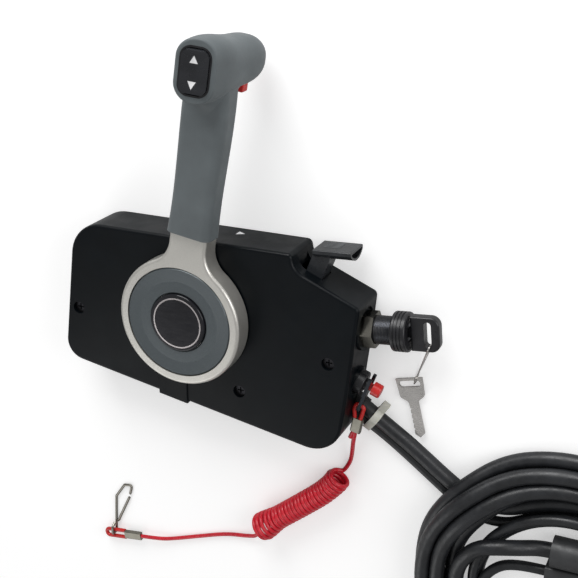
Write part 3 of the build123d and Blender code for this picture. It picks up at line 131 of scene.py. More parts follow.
# Ribs, thread and pins
TAB_RIBS_START = (.1045, .0652, .0125)
TAB_RIBS_TURN = radians(3)
THREAD_START = .0103      # along the key barrel
PLUG_RIBS_START = (.2930, -.1520, .0122)
MAIN_PINS_START = (.3218, -.1520, .0122)
TRIM_PINS_START = (.3078, -.1740, .0077)
PIN_RADIUS = .0007
PIN_LENGTH = .0075

# Arrows
ROCKER_FACE = Vector((.0340, .1970, .0820))
ROCKER_TURN = radians(14)
ROCKER_ARROW_PLACE = .0080      # from the middle of the rocker's face
ROCKER_ARROW_SIZE = .0036
CASE_TOP = Vector((.0312, .0620, .0124))
CASE_ARROW_SIZE = .0042
ARROW_TAIL = .5                 # of its size, behind its middle
ARROW_HALF_WIDTH = .8           # of its size
ARROW_SUNK = .0002
ARROW_PROUD = .00018
ABOVE_SURFACE = .03             # where the search for a surface starts

# Stage
CAMERA_PLACE = (.3935, .3325, .7229)
CAMERA_ACROSS = Vector((.911, 0, -.412))
CAMERA_UP = Vector((-.152, .929, -.336))
LENS_MM = 68.51
SENSOR_MM = 36
NEAR_CLIP = .01
FLOOR_HEIGHT = -.0002
FLOOR_REACH = 6.0
FLOOR_GLOW = .42                # what lifts the floor to white in the picture
LIGHTS_AIM = Vector((.05, -.02, .02))
LIGHTS = (                      # name, place, size, whose power, and its share of that power
    ("Key light", (-.15, 1.25, .55), .9, "key_power", 1.0),
    ("Fill light", (1.05, .35, .60), .7, "fill_power", 1.5),
    ("Low light", (-.55, -.9, .75), .8, "fill_power", .8),
)

# Finishes
TINT_STOPS = (.3, .7)           # values of a pattern where a tint's dark and light shades stand
NOISE_LOW = .35                 # most of a noise's values lie between these
NOISE_HIGH = .65

# Those that need only a name, a colour and a roughness, with the solids that take them
METALS = (
    ("Ring chrome", (.62, .58, .58), .2, ["cap_ring"]),
    ("Blackened screws", (.045, .045, .05), .38, ["cover_screws", "grip_screws"]),
    ("Bronze bushes", (.60, .42, .20), .34, ["front_bush", "rear_bush"]),
    ("Ground steel", (.50, .50, .51), .30,
     ["lever_shaft", "shift_pin", "fast_idle_pin", "hub_bolt", "rocker_pin", "detent_roller",
      "detent_spring", "throttle_arm", "shift_arm"]),
    ("Gear steel", (.36, .36, .38), .36, ["drive_gear", "shift_gear", "detent_cam"]),
    ("Blackened metal", (.060, .064, .074), .30, ["key_switch_body", "lock_plug", "lock_plate"]),
    ("Dark chrome nut", (.26, .25, .22), .18, ["key_switch_nut"]),
    ("Hook steel", (.30, .285, .25), .22, ["snap_hook", "hook_gate"]),
    ("Crimp metal", (.27, .26, .22), .36, ["lanyard_crimp", "hook_crimp"]),
)
PLASTICS = (
    ("Switch plastic", (.012, .012, .014), .32,
     ["neutral_switch", "warning_buzzer", "rocker_frame", "stop_switch_body", "stop_switch_nut",
      "key", "key_collar"]),
    ("Rocker plastic", (.016, .017, .020), .24, ["trim_rocker"]),
    ("Fast idle plastic", (.018, .020, .023), .30, ["fast_idle_lever"]),
    ("Plug plastic", (.035, .036, .038), .40, ["main_plug", "trim_plug"]),
    ("Cable grommet", (.014, .014, .016), .5, ["cable_grommet"]),
)


# Settings a user would change

def colour_property(name, description, default):
    """A colour for the panel."""
    return bpy.props.FloatVectorProperty(name=name, description=description, subtype="COLOR",
                                         size=3, min=0.0, max=1.0, default=default)


class ControlColours(bpy.types.PropertyGroup):
    """Colours of the control's finishes."""
    case: colour_property("Case", "Moulded case plastic", (.0012, .0026, .0040))
    grip: colour_property("Grip", "Soft-touch grip", (.106, .123, .130))
    silver: colour_property("Lever", "Silver paint on the lever casting", (.68, .665, .62))
    disc: colour_property("Disc", "Dark metallic disc round the hub", (.088, .104, .112))
    cap: colour_property("Cap", "Gloss cap of the hub", (.010, .010, .013))
    red: colour_property("Red", "Trigger and stop button", (.60, .022, .020))
    lanyard: colour_property("Lanyard", "Curly lanyard", (.66, .012, .030))
    jacket: colour_property("Jacket", "Outer jacket of the cables", (.012, .013, .015))
    nickel: colour_property("Nickel", "Spare key and its wire", (.64, .62, .60))


class HarnessSizes(bpy.types.PropertyGroup):
    """Sizes of the two cables."""
    main_diameter: bpy.props.FloatProperty(
        name="Main diameter", description="Diameter of the main cable",
        default=.012, min=.004, unit="LENGTH")
    trim_diameter: bpy.props.FloatProperty(
        name="Trim diameter", description="Diameter of the trim cable",
        default=.008, min=.003, unit="LENGTH")
    steps: bpy.props.IntProperty(
        name="Points per turn", description="Points in each turn of the ring", default=20, min=12)


class LanyardSizes(bpy.types.PropertyGroup):
    """Sizes of the curly lanyard."""
    cord_diameter: bpy.props.FloatProperty(
        name="Cord diameter", description="Diameter of the lanyard cord",
        default=.0035, min=.001, unit="LENGTH")
    helix_radius: bpy.props.FloatProperty(
        name="Helix radius", description="From the curl's axis to the cord, at its full width",
        default=.0098, min=.003, unit="LENGTH")
    turns: bpy.props.IntProperty(
        name="Turns", description="Whole turns in the curly part", default=25, min=4)


class GripSizes(bpy.types.PropertyGroup):
    """Sizes of the fillet between the grip's stem and its knob."""
    facet: bpy.props.FloatProperty(
        name="Facet", description="Size of the fillet's faces",
        default=.0007, min=.0003, unit="LENGTH")
    softness: bpy.props.IntProperty(
        name="Softness", description="Rounds of smoothing, more for a larger fillet",
        default=480, min=1)


class StageLight(bpy.types.PropertyGroup):
    """Light of the stage."""
    key_power: bpy.props.FloatProperty(
        name="Key light", description="Power of the large soft light",
        default=15.5, min=0, subtype="POWER", unit="POWER")
    fill_power: bpy.props.FloatProperty(
        name="Fill light", description="Power of the two smaller lights, at the right and lower left",
        default=3.0, min=0, subtype="POWER", unit="POWER")
    sky: bpy.props.FloatProperty(
        name="Sky", description="Strength of the even light", default=.34, min=0)


# Objects and meshes

def add_object(name, data):
    """A new object in the scene, at the origin."""
    obj = bpy.data.objects.new(name, data)
    bpy.context.scene.collection.objects.link(obj)
    return obj


def as_mesh(obj):
    """The object's finished shape as a plain mesh. The object itself goes."""
    bpy.context.view_layer.update()
    shape = obj.evaluated_get(bpy.context.evaluated_depsgraph_get())
    mesh = bpy.data.meshes.new_from_object(shape)
    bpy.data.objects.remove(obj)
    return mesh


def finished(obj, material, body):
    """A new piece takes its finish and rides on its body."""
    obj.data.materials.clear()
    obj.data.materials.append(material)
    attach(obj, body)
    return obj


def dress(material, *names):
    """The solids of those names take the finish."""
    for name in names:
        for place in nodes[name].material_slots:
            place.link = "OBJECT"
            place.material = material


def outward(mesh):
    """Turns a mesh's faces outwards."""
    shell = bmesh.new()
    shell.from_mesh(mesh)
    bmesh.ops.recalc_face_normals(shell, faces=shell.faces)
    shell.to_mesh(mesh)
    shell.free()


def placing(origin, forward, across):
    """The place whose Z points forward and whose X points across."""
    z = Vector(forward).normalized()
    x = (Vector(across) - z * z.dot(Vector(across))).normalized()
    return Matrix.Translation(origin) @ Matrix((x, z.cross(x), z)).transposed().to_4x4()


def eased(share):
    """A smooth step from 0 to 1."""
    share = min(1.0, max(0.0, share))
    return share * share * (3 - 2 * share)


# Finishes

def add_node(tree, kind, **values):
    """A node of a tree with its values set and its links made. _0 stands for its first input."""
    made = tree.nodes.new(kind)
    for key, value in values.items():
        if hasattr(made, key):
            setattr(made, key, value)
            continue
        socket = made.inputs[int(key[1:]) if key[0] == "_" else key.replace("_", " ")]
        if isinstance(value, bpy.types.NodeSocket):
            tree.links.new(value, socket)
        else:
            socket.default_value = value
    return made


def shade(colour, amount):
    """The same colour, lighter or darker."""
    return tuple(min(1.0, c * amount) for c in colour)


class Finish:
    """A node material in the making, with its shader and the object's own coordinates."""

    def __init__(self, name, colour, roughness, metallic=0.0):
        self.material = bpy.data.materials.new(name)
        self.material.use_nodes = True
        self.tree = self.material.node_tree
        self.shader = self.tree.nodes["Principled BSDF"]
        self.shader.inputs["Base Color"].default_value = (*colour, 1)
        self.shader.inputs["Roughness"].default_value = roughness
        self.shader.inputs["Metallic"].default_value = metallic
        self.place = self.tree.nodes.new("ShaderNodeTexCoord").outputs["Object"]
        self.relief = None

    def add(self, kind, **values):
        """A node with its values set and its links made."""
        return add_node(self.tree, kind, **values)

    def stretched(self, scale, turn):
        """The coordinates scaled by axis and turned."""
        return self.add("ShaderNodeMapping", Vector=self.place, Scale=scale,
                        Rotation=turn).outputs[0]

    def noise(self, scale, detail, roughness=.5, place=None):
        """A noise value over the piece."""
        return self.add("ShaderNodeTexNoise", Vector=place or self.place, Scale=scale,
                        Detail=detail, Roughness=roughness).outputs["Fac"]

    def cells(self, scale):
        """Distance to the nearest cell centre."""
        return self.add("ShaderNodeTexVoronoi", Vector=self.place,
                        Scale=scale).outputs["Distance"]

    def tint(self, value, dark, light):
        """The base colour varies between two shades."""
        ramp = self.add("ShaderNodeValToRGB", Fac=value)
        for stop, position, colour in zip(ramp.color_ramp.elements, TINT_STOPS, (dark, light)):
            stop.position = position
            stop.color = (*colour, 1)
        self.tree.links.new(ramp.outputs[0], self.shader.inputs["Base Color"])

    def vary_roughness(self, value, low, high):
        """The roughness follows a pattern."""
        spread = self.add("ShaderNodeMapRange", Value=value, From_Min=NOISE_LOW,
                          From_Max=NOISE_HIGH, To_Min=low, To_Max=high)
        self.tree.links.new(spread.outputs[0], self.shader.inputs["Roughness"])

    def bump(self, value, depth, strength):
        """A relief of that depth in metres, on top of the last one."""
        made = self.add("ShaderNodeBump", Height=value, Distance=depth, Strength=strength)
        if self.relief:
            self.tree.links.new(self.relief, made.inputs["Normal"])
        self.relief = made.outputs[0]
        self.tree.links.new(self.relief, self.shader.inputs["Normal"])

    def set(self, **values):
        """Constant values on the shader's own sockets."""
        for key, value in values.items():
            self.shader.inputs[key.replace("_", " ")].default_value = value
        return self.material


def case_plastic(colour):
    """Black moulded plastic with a fine spark-eroded grain."""
    f = Finish("Housing plastic", colour, roughness=.36)
    f.tint(f.noise(38, detail=4), shade(colour, .82), shade(colour, 1.22))
    f.vary_roughness(f.noise(60, detail=5), .32, .42)
    f.bump(f.noise(4200, detail=2), depth=.00005, strength=.30)
    f.bump(f.noise(90, detail=3), depth=.0003, strength=.12)
    return f.set(Specular_IOR_Level=.17, Coat_Weight=.05, Coat_Roughness=.14)


def grip_rubber(colour):
    """Grey soft-touch grip with a leathery grain."""
    f = Finish("Soft-touch grip", colour, roughness=.56)
    f.tint(f.noise(45, detail=5), shade(colour, .90), shade(colour, 1.10))
    f.vary_roughness(f.noise(140, detail=4), .50, .62)
    f.bump(f.cells(1500), depth=.00009, strength=.35)
    f.bump(f.noise(2600, detail=3), depth=.00006, strength=.4)
    return f.set(Sheen_Weight=.08, Sheen_Roughness=.5)


def silver_paint(colour):
    """Silver lacquer over a casting, with metal flakes."""
    f = Finish("Silver lacquer", colour, roughness=.36, metallic=.75)
    f.tint(f.cells(3800), shade(colour, .86), shade(colour, 1.12))
    f.vary_roughness(f.noise(70, detail=4), .32, .40)
    f.bump(f.noise(1900, detail=2), depth=.00004, strength=.25)
    return f.set(Coat_Weight=.3, Coat_Roughness=.12)


def disc_paint(colour):
    """Dark metallic satin disc, turned in fine rings."""
    f = Finish("Dark metallic disc", colour, roughness=.40, metallic=.55)
    f.tint(f.cells(3000), shade(colour, .84), shade(colour, 1.18))
    rings = f.add("ShaderNodeTexWave", wave_type="RINGS", rings_direction="Z", Vector=f.place,
                  Scale=420, Distortion=.2, Detail=1).outputs["Fac"]
    f.bump(rings, depth=.00002, strength=.3)
    return f.set(Coat_Weight=.25, Coat_Roughness=.15)


def cap_gloss(colour):
    """Gloss black cap with fine wiping marks."""
    f = Finish("Gloss cap", colour, roughness=.12)
    wiped = f.stretched((1, 5, 1), turn=(0, 0, .5))
    f.vary_roughness(f.noise(160, detail=6, roughness=.6, place=wiped), .08, .20)
    f.tint(f.noise(30, detail=3), shade(colour, .8), shade(colour, 1.4))
    return f.set(Specular_IOR_Level=.3, Coat_Weight=.25, Coat_Roughness=.05)


def bright_metal(name, colour, roughness, scale=900):
    """Plated or bare metal with fine scratches."""
    f = Finish(name, colour, roughness, metallic=1.0)
    f.tint(f.noise(120, detail=4), shade(colour, .92), shade(colour, 1.06))
    brushed = f.stretched((1, 9, 1), turn=(0, 0, .4))
    f.vary_roughness(f.noise(scale, detail=4, roughness=.6, place=brushed),
                     roughness * .8, roughness * 1.3)
    f.bump(f.noise(scale, detail=3, place=brushed), depth=.00002, strength=.14)
    return f.material


def black_plastic(name, colour, roughness):
    """Smooth plastic of the switches, key head, plugs and arrows."""
    f = Finish(name, colour, roughness)
    f.tint(f.noise(80, detail=4), shade(colour, .8), shade(colour, 1.3))
    f.vary_roughness(f.noise(300, detail=4), roughness * .85, roughness * 1.2)
    f.bump(f.noise(3000, detail=2), depth=.00004, strength=.25)
    return f.material


def red_plastic(name, colour, glow):
    """Clear-coloured red plastic that lets a little light in."""
    f = Finish(name, colour, roughness=.28)
    f.tint(f.noise(110, detail=4), shade(colour, .86), shade(colour, 1.08))
    f.vary_roughness(f.noise(400, detail=4), .22, .36)
    f.bump(f.noise(1400, detail=3), depth=.00005, strength=.25)
    return f.set(Subsurface_Weight=glow, Subsurface_Radius=(.004, .0008, .0008),
                 Subsurface_Scale=.6, Coat_Weight=.2, Coat_Roughness=.2)


def cable_jacket(colour):
    """Dull black jacket with scuffs and faint waves from the wires inside."""
    f = Finish("Cable jacket", colour, roughness=.38)
    f.tint(f.noise(70, detail=5, roughness=.6), shade(colour, .7), shade(colour, 1.7))
    f.vary_roughness(f.noise(210, detail=5), .30, .48)
    f.bump(f.noise(230, detail=4), depth=.0005, strength=.25)
    f.bump(f.noise(2400, detail=2), depth=.00004, strength=.3)
    return f.set(Specular_IOR_Level=.55)


def tie_nylon():
    """Natural nylon of the cable tie."""
    f = Finish("Natural nylon", (.62, .62, .56), roughness=.34)
    f.tint(f.noise(90, detail=4), (.54, .54, .47), (.70, .70, .64))
    f.bump(f.noise(1800, detail=2), depth=.00004, strength=.3)
    return f.set(Subsurface_Weight=.3, Subsurface_Radius=(.004, .004, .003), Subsurface_Scale=.5)


# Pieces made by geometry nodes

def new_tree(name, *inputs):
    """A geometry tree with named inputs. Returns the tree and its inputs by name."""
    tree = bpy.data.node_groups.new(name, "GeometryNodeTree")
    for label, kind in inputs:
        tree.interface.new_socket(name=label, in_out="INPUT", socket_type="NodeSocket" + kind)
    tree.interface.new_socket(name="Geometry", in_out="OUTPUT",
                              socket_type="NodeSocketGeometry")
    return tree, tree.nodes.new("NodeGroupInput").outputs


def instanced(tree, points, piece, material):
    """The end of each tree: the piece on every point, made real, smooth and finished."""
    copies = add_node(tree, "GeometryNodeInstanceOnPoints", Points=points, Instance=piece)
    real = add_node(tree, "GeometryNodeRealizeInstances", Geometry=copies.outputs[0])
    smooth = add_node(tree, "GeometryNodeSetShadeSmooth", Geometry=real.outputs[0])
    finish = add_node(tree, "GeometryNodeSetMaterial", Geometry=smooth.outputs[0],
                      Material=material)
    add_node(tree, "NodeGroupOutput", Geometry=finish.outputs[0])
    return tree


def row_points(tree, count, spacing):
    """Points in a row along Z."""
    step = add_node(tree, "ShaderNodeCombineXYZ", Z=spacing)
    return add_node(tree, "GeometryNodeMeshLine", Count=count, Offset=step.outputs[0]).outputs[0]


def rod(tree, direction, length, radius, sides):
    """A round rod from the origin."""
    line = add_node(tree, "GeometryNodeCurvePrimitiveLine", mode="DIRECTION",
                    Direction=direction, Length=length)
    ring = add_node(tree, "GeometryNodeCurvePrimitiveCircle", Resolution=sides, Radius=radius)
    return add_node(tree, "GeometryNodeCurveToMesh", Curve=line.outputs[0],
                    Profile_Curve=ring.outputs[0], Fill_Caps=True).outputs[0]


def rod_row():
    """A row of thin ribs along X, side by side along Z."""
    tree, given = new_tree("Row of ribs", ("Count", "Int"), ("Spacing", "Float"),
                           ("Length", "Float"), ("Radius", "Float"), ("Material", "Material"))
    piece = rod(tree, (1, 0, 0), given["Length"], given["Radius"], sides=10)
    points = row_points(tree, given["Count"], given["Spacing"])
    return instanced(tree, points, piece, given["Material"])


def ring_row():
    """Round beads about Z, one behind the other."""
    tree, given = new_tree("Row of rings", ("Count", "Int"), ("Spacing", "Float"),
                           ("Ring radius", "Float"), ("Bead radius", "Float"),
                           ("Material", "Material"))
    ring = add_node(tree, "GeometryNodeCurvePrimitiveCircle", Resolution=48,
                    Radius=given["Ring radius"])
    bead = add_node(tree, "GeometryNodeCurvePrimitiveCircle", Resolution=8,
                    Radius=given["Bead radius"])
    hoop = add_node(tree, "GeometryNodeCurveToMesh", Curve=ring.outputs[0],
                    Profile_Curve=bead.outputs[0])
    points = row_points(tree, given["Count"], given["Spacing"])
    return instanced(tree, points, hoop.outputs[0], given["Material"])


def pin_rings():
    """Contact pins along Z, in an outer and an inner ring."""
    tree, given = new_tree("Rings of pins", ("Outer pins", "Int"), ("Inner pins", "Int"),
                           ("Outer radius", "Float"), ("Inner radius", "Float"),
                           ("Pin radius", "Float"), ("Pin length", "Float"),
                           ("Material", "Material"))
    outer = add_node(tree, "GeometryNodeMeshCircle", Vertices=given["Outer pins"],
                     Radius=given["Outer radius"])
    inner = add_node(tree, "GeometryNodeMeshCircle", Vertices=given["Inner pins"],
                     Radius=given["Inner radius"])
    both = add_node(tree, "GeometryNodeJoinGeometry", Geometry=outer.outputs[0])
    tree.links.new(inner.outputs[0], both.inputs[0])
    piece = rod(tree, (0, 0, 1), given["Pin length"], given["Pin radius"], sides=12)
    return instanced(tree, both.outputs[0], piece, given["Material"])


def grown(name, tree, values, place, body):
    """A piece made by a tree, turned into a plain mesh and put in its place."""
    seed = add_object("Seed", bpy.data.meshes.new("Seed"))
    modifier = seed.modifiers.new("Shape", "NODES")
    modifier.node_group = tree
    for item in tree.interface.items_tree:
        if item.in_out == "INPUT":
            modifier[item.identifier] = values[item.name]
    mesh = as_mesh(seed)
    mesh.transform(place)
    mesh.name = name
    return finished(add_object(name, mesh), values["Material"], body)


# Cords

def spline_object(name, points, diameter=0.0):
    """A curve of one open spline along the points."""
    curve = bpy.data.curves.new(name, "CURVE")
    curve.dimensions = "3D"
    curve.resolution_u = 8
    curve.use_fill_caps = True
    curve.bevel_depth = diameter / 2
    curve.bevel_resolution = 5
    spline = curve.splines.new("NURBS")
    spline.points.add(len(points) - 1)
    for knot, point in zip(spline.points, points):
        knot.co = (*point, 1)
    spline.order_u = 3
    spline.use_endpoint_u = True
    return add_object(name, curve)


def route_line(points):
    """Points read along the smooth line of a route."""
    mesh = as_mesh(spline_object("Guide", points))
    line = [v.co.copy() for v in mesh.vertices]
    bpy.data.meshes.remove(mesh)
    return line


def line_length(line):
    """The length of a line of points."""
    return sum((b - a).length for a, b in zip(line, line[1:]))


def along(line, share):
    """The point and direction at a share of a line's length."""
    left = share * line_length(line)
    for a, b in zip(line, line[1:]):
        step = (b - a).length
        if left <= step or b is line[-1]:
            return a.lerp(b, left / step), (b - a).normalized()
        left -= step


def near_entry(distance, side, height):
    """A point by its distance from the ring's centre, its place beside the entry and its height."""
    out = Vector((cos(ENTRY_TURN), sin(ENTRY_TURN), 0))
    return RING_CENTRE + out * distance + Vector((-out.y, out.x, 0)) * -side + UP * height


def between(turn, plan):
    """The values of a plan at that turn, straight between its rows."""
    for (t0, *first), (t1, *last) in zip(plan, plan[1:]):
        if turn <= t1:
            share = max(0.0, turn - t0) / (t1 - t0)
            return [a + (b - a) * share for a, b in zip(first, last)]
    return plan[-1][1:]


def ring_points(plan, first_angle, steps, rise):
    """Turns of a cable round the ring, clockwise, raised where they cross what comes in."""
    points = []
    count = int((plan[-1][0] - plan[0][0]) * steps)
    for step in range(count + 1):
        turn = plan[0][0] + step / steps
        radius, height = between(turn, plan)
        angle = first_angle + 2 * pi * turn
        side = radius * sin(angle)
        if cos(angle) > 0 and turn > FLOOR_TURN:
            past_top = abs(side - CROSSING_SIDE) - CROSSING_HALF
            height += rise * (1 - eased(past_top / CROSSING_SLOPE))
        # further out, because the smooth line passes inside its points
        radius /= (1 + cos(pi / steps)) / 2
        at = ENTRY_TURN - angle
        points.append(RING_CENTRE + Vector((cos(at) * radius, sin(at) * radius, height)))
    return points


def curl_points(helix_radius, turns):
    """The curly part of the lanyard, a helix along its axis that touches the floor."""
    points = []
    axis = route_line(CURL_AXIS)
    total = turns + CURL_OVERRUN
    for step in range(1, int(total * CURL_POINTS) + 1):
        share = step / (total * CURL_POINTS)
        centre, way = along(axis, share)
        side = way.cross(UP).normalized()
        turn = 2 * pi * total * share
        width = (CURL_WIDTH
                 + HOOK_FLARE * eased((share - HOOK_FLARE_START) * HOOK_FLARE_STEEPNESS)
                 + TOP_FLARE * eased((TOP_FLARE_END - share) * TOP_FLARE_STEEPNESS))
        centre.z += helix_radius * (width - 1)
        first = FIRST_TURN_WIDTH + FIRST_TURN_GROWTH * eased(share * END_TURN_STEEPNESS)
        last = LAST_TURN_WIDTH + LAST_TURN_GROWTH * eased((1 - share) * END_TURN_STEEPNESS)
        # further out, because the smooth line passes inside its points
        reach = helix_radius * width * first / cos(pi / CURL_POINTS) ** .5
        reach *= last
        point = centre - Vector((0, 0, cos(turn) * reach)) + side * (sin(turn) * reach)
        point += way * (TURN_STRAY * sin(turn * STRAY_PACE + STRAY_DRIFT * share))
        point.z = max(point.z, CORD_REST)
        points.append(point)
    return points


class CONTROL_OT_harness(bpy.types.Operator):
    """Lays the main and the trim cable from the case, round the ring and to their plugs"""
    bl_idname = "throttle_control.harness"
    bl_label = "Cables"

    def execute(self, context):
        sizes = context.scene.harness_sizes
        jacket = cable_jacket(context.scene.control_colours.jacket)
        main = MAIN_ROUTE + [near_entry(*place) for place in MAIN_ENTRY]
        main += ring_points(MAIN_TURNS, MAIN_FIRST_ANGLE, sizes.steps, CROSSING_RISE)
        main += MAIN_TAIL
        trim = TRIM_ROUTE + [near_entry(*place) for place in TRIM_ENTRY]
        trim += ring_points(TRIM_TURNS, TRIM_FIRST_ANGLE, sizes.steps, 0.0)
        trim += TRIM_TAIL
        for name, points, diameter, cad, plug in (
                ("Main_cable", main, sizes.main_diameter,
                 ("main_cable", "cable_coil", "main_tail"), "main_plug"),
                ("Trim_cable", trim, sizes.trim_diameter,
                 ("trim_cable", "trim_tail"), "trim_plug")):
            cable = finished(spline_object(name, points, diameter), jacket, "control")
            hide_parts(*cad)
            length = line_length(route_line(points))
        return {"FINISHED"}


class CONTROL_OT_lanyard(bpy.types.Operator):
    """Lays the curly lanyard from its upper crimp to the crimp of the snap hook"""
    bl_idname = "throttle_control.lanyard"
    bl_label = "Curly lanyard"

    def execute(self, context):
        sizes = context.scene.lanyard_sizes
        plastic = red_plastic("Lanyard plastic", context.scene.control_colours.lanyard, .12)
        points = LANYARD_TOP + curl_points(sizes.helix_radius, sizes.turns) + LANYARD_LEAD[1:]
        cord = finished(spline_object("Curly_lanyard", points, sizes.cord_diameter), plastic,
                        "lanyard")
        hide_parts("lanyard_cord", "lanyard_coil", "lanyard_lead")
        cut_end = as_mesh(spline_object("Stub", CORD_CUT_END, sizes.cord_diameter))
        finished(add_object("Cord_end", cut_end), plastic, "lanyard")
        length = line_length(route_line(points))
        return {"FINISHED"}


# Grip

def upper_grip(grip):
    """A closed copy of the grip, from where the fillet piece starts up to the knob's end."""
    shell = bmesh.new()
    shell.from_mesh(grip.data)
    shell.transform(grip.matrix_world)
    bmesh.ops.remove_doubles(shell, verts=shell.verts, dist=SAME_POINT)
    cut = bmesh.ops.bisect_plane(shell, geom=shell.verts[:] + shell.edges[:] + shell.faces[:],
                                 plane_co=LEVER_ALONG * FILLET_START, plane_no=LEVER_ALONG,
                                 clear_inner=True)
    rim = [e for e in cut["geom_cut"] if isinstance(e, bmesh.types.BMEdge)]
    bmesh.ops.holes_fill(shell, edges=rim)
    bmesh.ops.recalc_face_normals(shell, faces=shell.faces)
    mesh = bpy.data.meshes.new("Grip_fillet")
    shell.to_mesh(mesh)
    shell.free()
    return mesh


def faded(depth, fade):
    """0 outside, 1 deeper inside than the fade, straight between."""
    return np.clip(depth / fade, 0, 1)


def crease_share(places):
    """How much each place takes part in the smoothing: fully at the crease, not at all far off."""
    distance = places @ np.array(LEVER_ALONG)
    height = places[:, 2]
    share = faded(CREASE_REACH - abs(distance - CREASE_AT), CREASE_FADE)
    share *= (faded(height - CREASE_LOW, CREASE_LOW_FADE)
              * faded(CREASE_HIGH - height, CREASE_HIGH_FADE))
    return share


def soften_crease(mesh, rounds):
    """Draws the mesh's points at the crease towards their neighbours, round after round."""
    count = len(mesh.vertices)
    places = np.empty(count * 3)
    edges = np.empty(len(mesh.edges) * 2, dtype=np.int64)
    mesh.vertices.foreach_get("co", places)
    mesh.edges.foreach_get("vertices", edges)
    places = places.reshape(-1, 3)
    first, second = edges.reshape(-1, 2).T
    normals = np.array([v.normal for v in mesh.vertices])
    neighbours = np.bincount(edges, minlength=count)[:, None]
    pull = SMOOTHING_STEP * crease_share(places)[:, None]
    for _ in range(rounds):
        total = np.zeros_like(places)
        for axis in range(3):
            total[:, axis] = (np.bincount(first, places[second, axis], count)
                              + np.bincount(second, places[first, axis], count))
        places += (total / neighbours - places) * pull
    places -= normals * FILLET_INSET
    mesh.vertices.foreach_set("co", places.ravel())
    mesh.polygons.foreach_set("use_smooth", np.ones(len(mesh.polygons), dtype=bool))
    mesh.update()


class CONTROL_OT_grip(bpy.types.Operator):
    """Fills the crease between the grip's stem and its knob with a soft fillet"""
    bl_idname = "throttle_control.grip"
    bl_label = "Grip fillet"

    def execute(self, context):
        sizes = context.scene.grip_sizes
        blank = add_object("Blank", upper_grip(nodes["grip"]))
        blank.modifiers.new("Even faces", "REMESH").voxel_size = sizes.facet
        mesh = as_mesh(blank)
        soften_crease(mesh, sizes.softness)
        rubber = grip_rubber(context.scene.control_colours.grip)
        finished(add_object("Grip_fillet", mesh), rubber, "lever")
        dress(rubber, "grip", "grip_back_cover")
        return {"FINISHED"}


# Small pieces

class CONTROL_OT_ribs(bpy.types.Operator):
    """Adds the ribs of the fast idle tab, the key barrel's thread and the main plug's ribs"""
    bl_idname = "throttle_control.ribs"
    bl_label = "Ribs and threads"

    def execute(self, context):
        jacket = context.scene.control_colours.jacket
        rings = ring_row()
        tab_edge = (cos(TAB_RIBS_TURN), sin(TAB_RIBS_TURN), 0)
        grown("Tab_ribs", rod_row(),
              {"Count": 5, "Spacing": .0026, "Length": .013, "Radius": .00045,
               "Material": black_plastic("Tab ribs", (.10, .105, .11), .4)},
              placing(TAB_RIBS_START, UP, tab_edge), "fast_idle")
        grown("Barrel_thread", rings,
              {"Count": 11, "Spacing": .00115, "Ring radius": .01048, "Bead radius": .00036,
               "Material": bright_metal("Barrel thread", (.085, .085, .088), .34)},
              placing(KEY_START + KEY_WAY * THREAD_START, KEY_WAY, UP), "control")
        grown("Plug_ribs", rings,
              {"Count": 5, "Spacing": .0024, "Ring radius": .0114, "Bead radius": .0006,
               "Material": black_plastic("Plug ribs", jacket, .42)},
              placing(PLUG_RIBS_START, (1, 0, 0), UP), "control")
        return {"FINISHED"}


class CONTROL_OT_pins(bpy.types.Operator):
    """Adds the contact pins inside the two plugs"""
    bl_idname = "throttle_control.pins"
    bl_label = "Plug pins"

    def execute(self, context):
        tree = pin_rings()
        metal = bright_metal("Tinned pins", (.70, .66, .56), .25)
        for name, outer, inner, outer_radius, inner_radius, start in (
                ("Main_pins", 7, 3, .0062, .0026, MAIN_PINS_START),
                ("Trim_pins", 3, 3, .0028, .0028, TRIM_PINS_START)):
            grown(name, tree,
                  {"Outer pins": outer, "Inner pins": inner, "Outer radius": outer_radius,
                   "Inner radius": inner_radius, "Pin radius": PIN_RADIUS,
                   "Pin length": PIN_LENGTH, "Material": metal},
                  placing(start, (1, 0, 0), UP), "control")
        return {"FINISHED"}


def arrow_mesh(name, solid, start, way, point, size):
    """A thin arrowhead that points along the solid's surface, which faces the given way."""
    side = point.cross(way).normalized()
    tail = start - point * size * ARROW_TAIL
    ring = []
    for corner in (start + point * size, tail + side * size * ARROW_HALF_WIDTH,
                   tail - side * size * ARROW_HALF_WIDTH):
        hit, at, _, _ = solid.ray_cast(corner + way * ABOVE_SURFACE, -way)
        if not hit:
            raise RuntimeError(name + " leaves its surface")
        ring.append(at)
    mesh = bpy.data.meshes.new(name)
    mesh.from_pydata([p - way * ARROW_SUNK for p in ring] + [p + way * ARROW_PROUD for p in ring],
                     [], [(0, 2, 1), (3, 4, 5), (0, 1, 4, 3), (1, 2, 5, 4), (2, 0, 3, 5)])
    outward(mesh)
    return mesh


class CONTROL_OT_marks(bpy.types.Operator):
    """Adds the plain direction arrows on the rocker and on the top of the case"""
    bl_idname = "throttle_control.marks"
    bl_label = "Arrows"

    def execute(self, context):
        paint = black_plastic("White arrows", (.75, .75, .76), .5)
        out = LEVER_ACROSS * sin(ROCKER_TURN) + UP * cos(ROCKER_TURN)
        offset = LEVER_ALONG * ROCKER_ARROW_PLACE
        for name, node, start, way, point, size, body in (
                ("Arrow_up", "trim_rocker", ROCKER_FACE + offset, out, LEVER_ALONG,
                 ROCKER_ARROW_SIZE, "rocker"),
                ("Arrow_down", "trim_rocker", ROCKER_FACE - offset, out, -LEVER_ALONG,
                 ROCKER_ARROW_SIZE, "rocker"),
                ("Arrow_ahead", "housing_cover", CASE_TOP, Vector((0, 1, 0)),
                 Vector((1, 0, 0)), CASE_ARROW_SIZE, "control")):
            mesh = arrow_mesh(name, nodes[node], start, way, point, size)
            finished(add_object(name, mesh), paint, body)
        return {"FINISHED"}


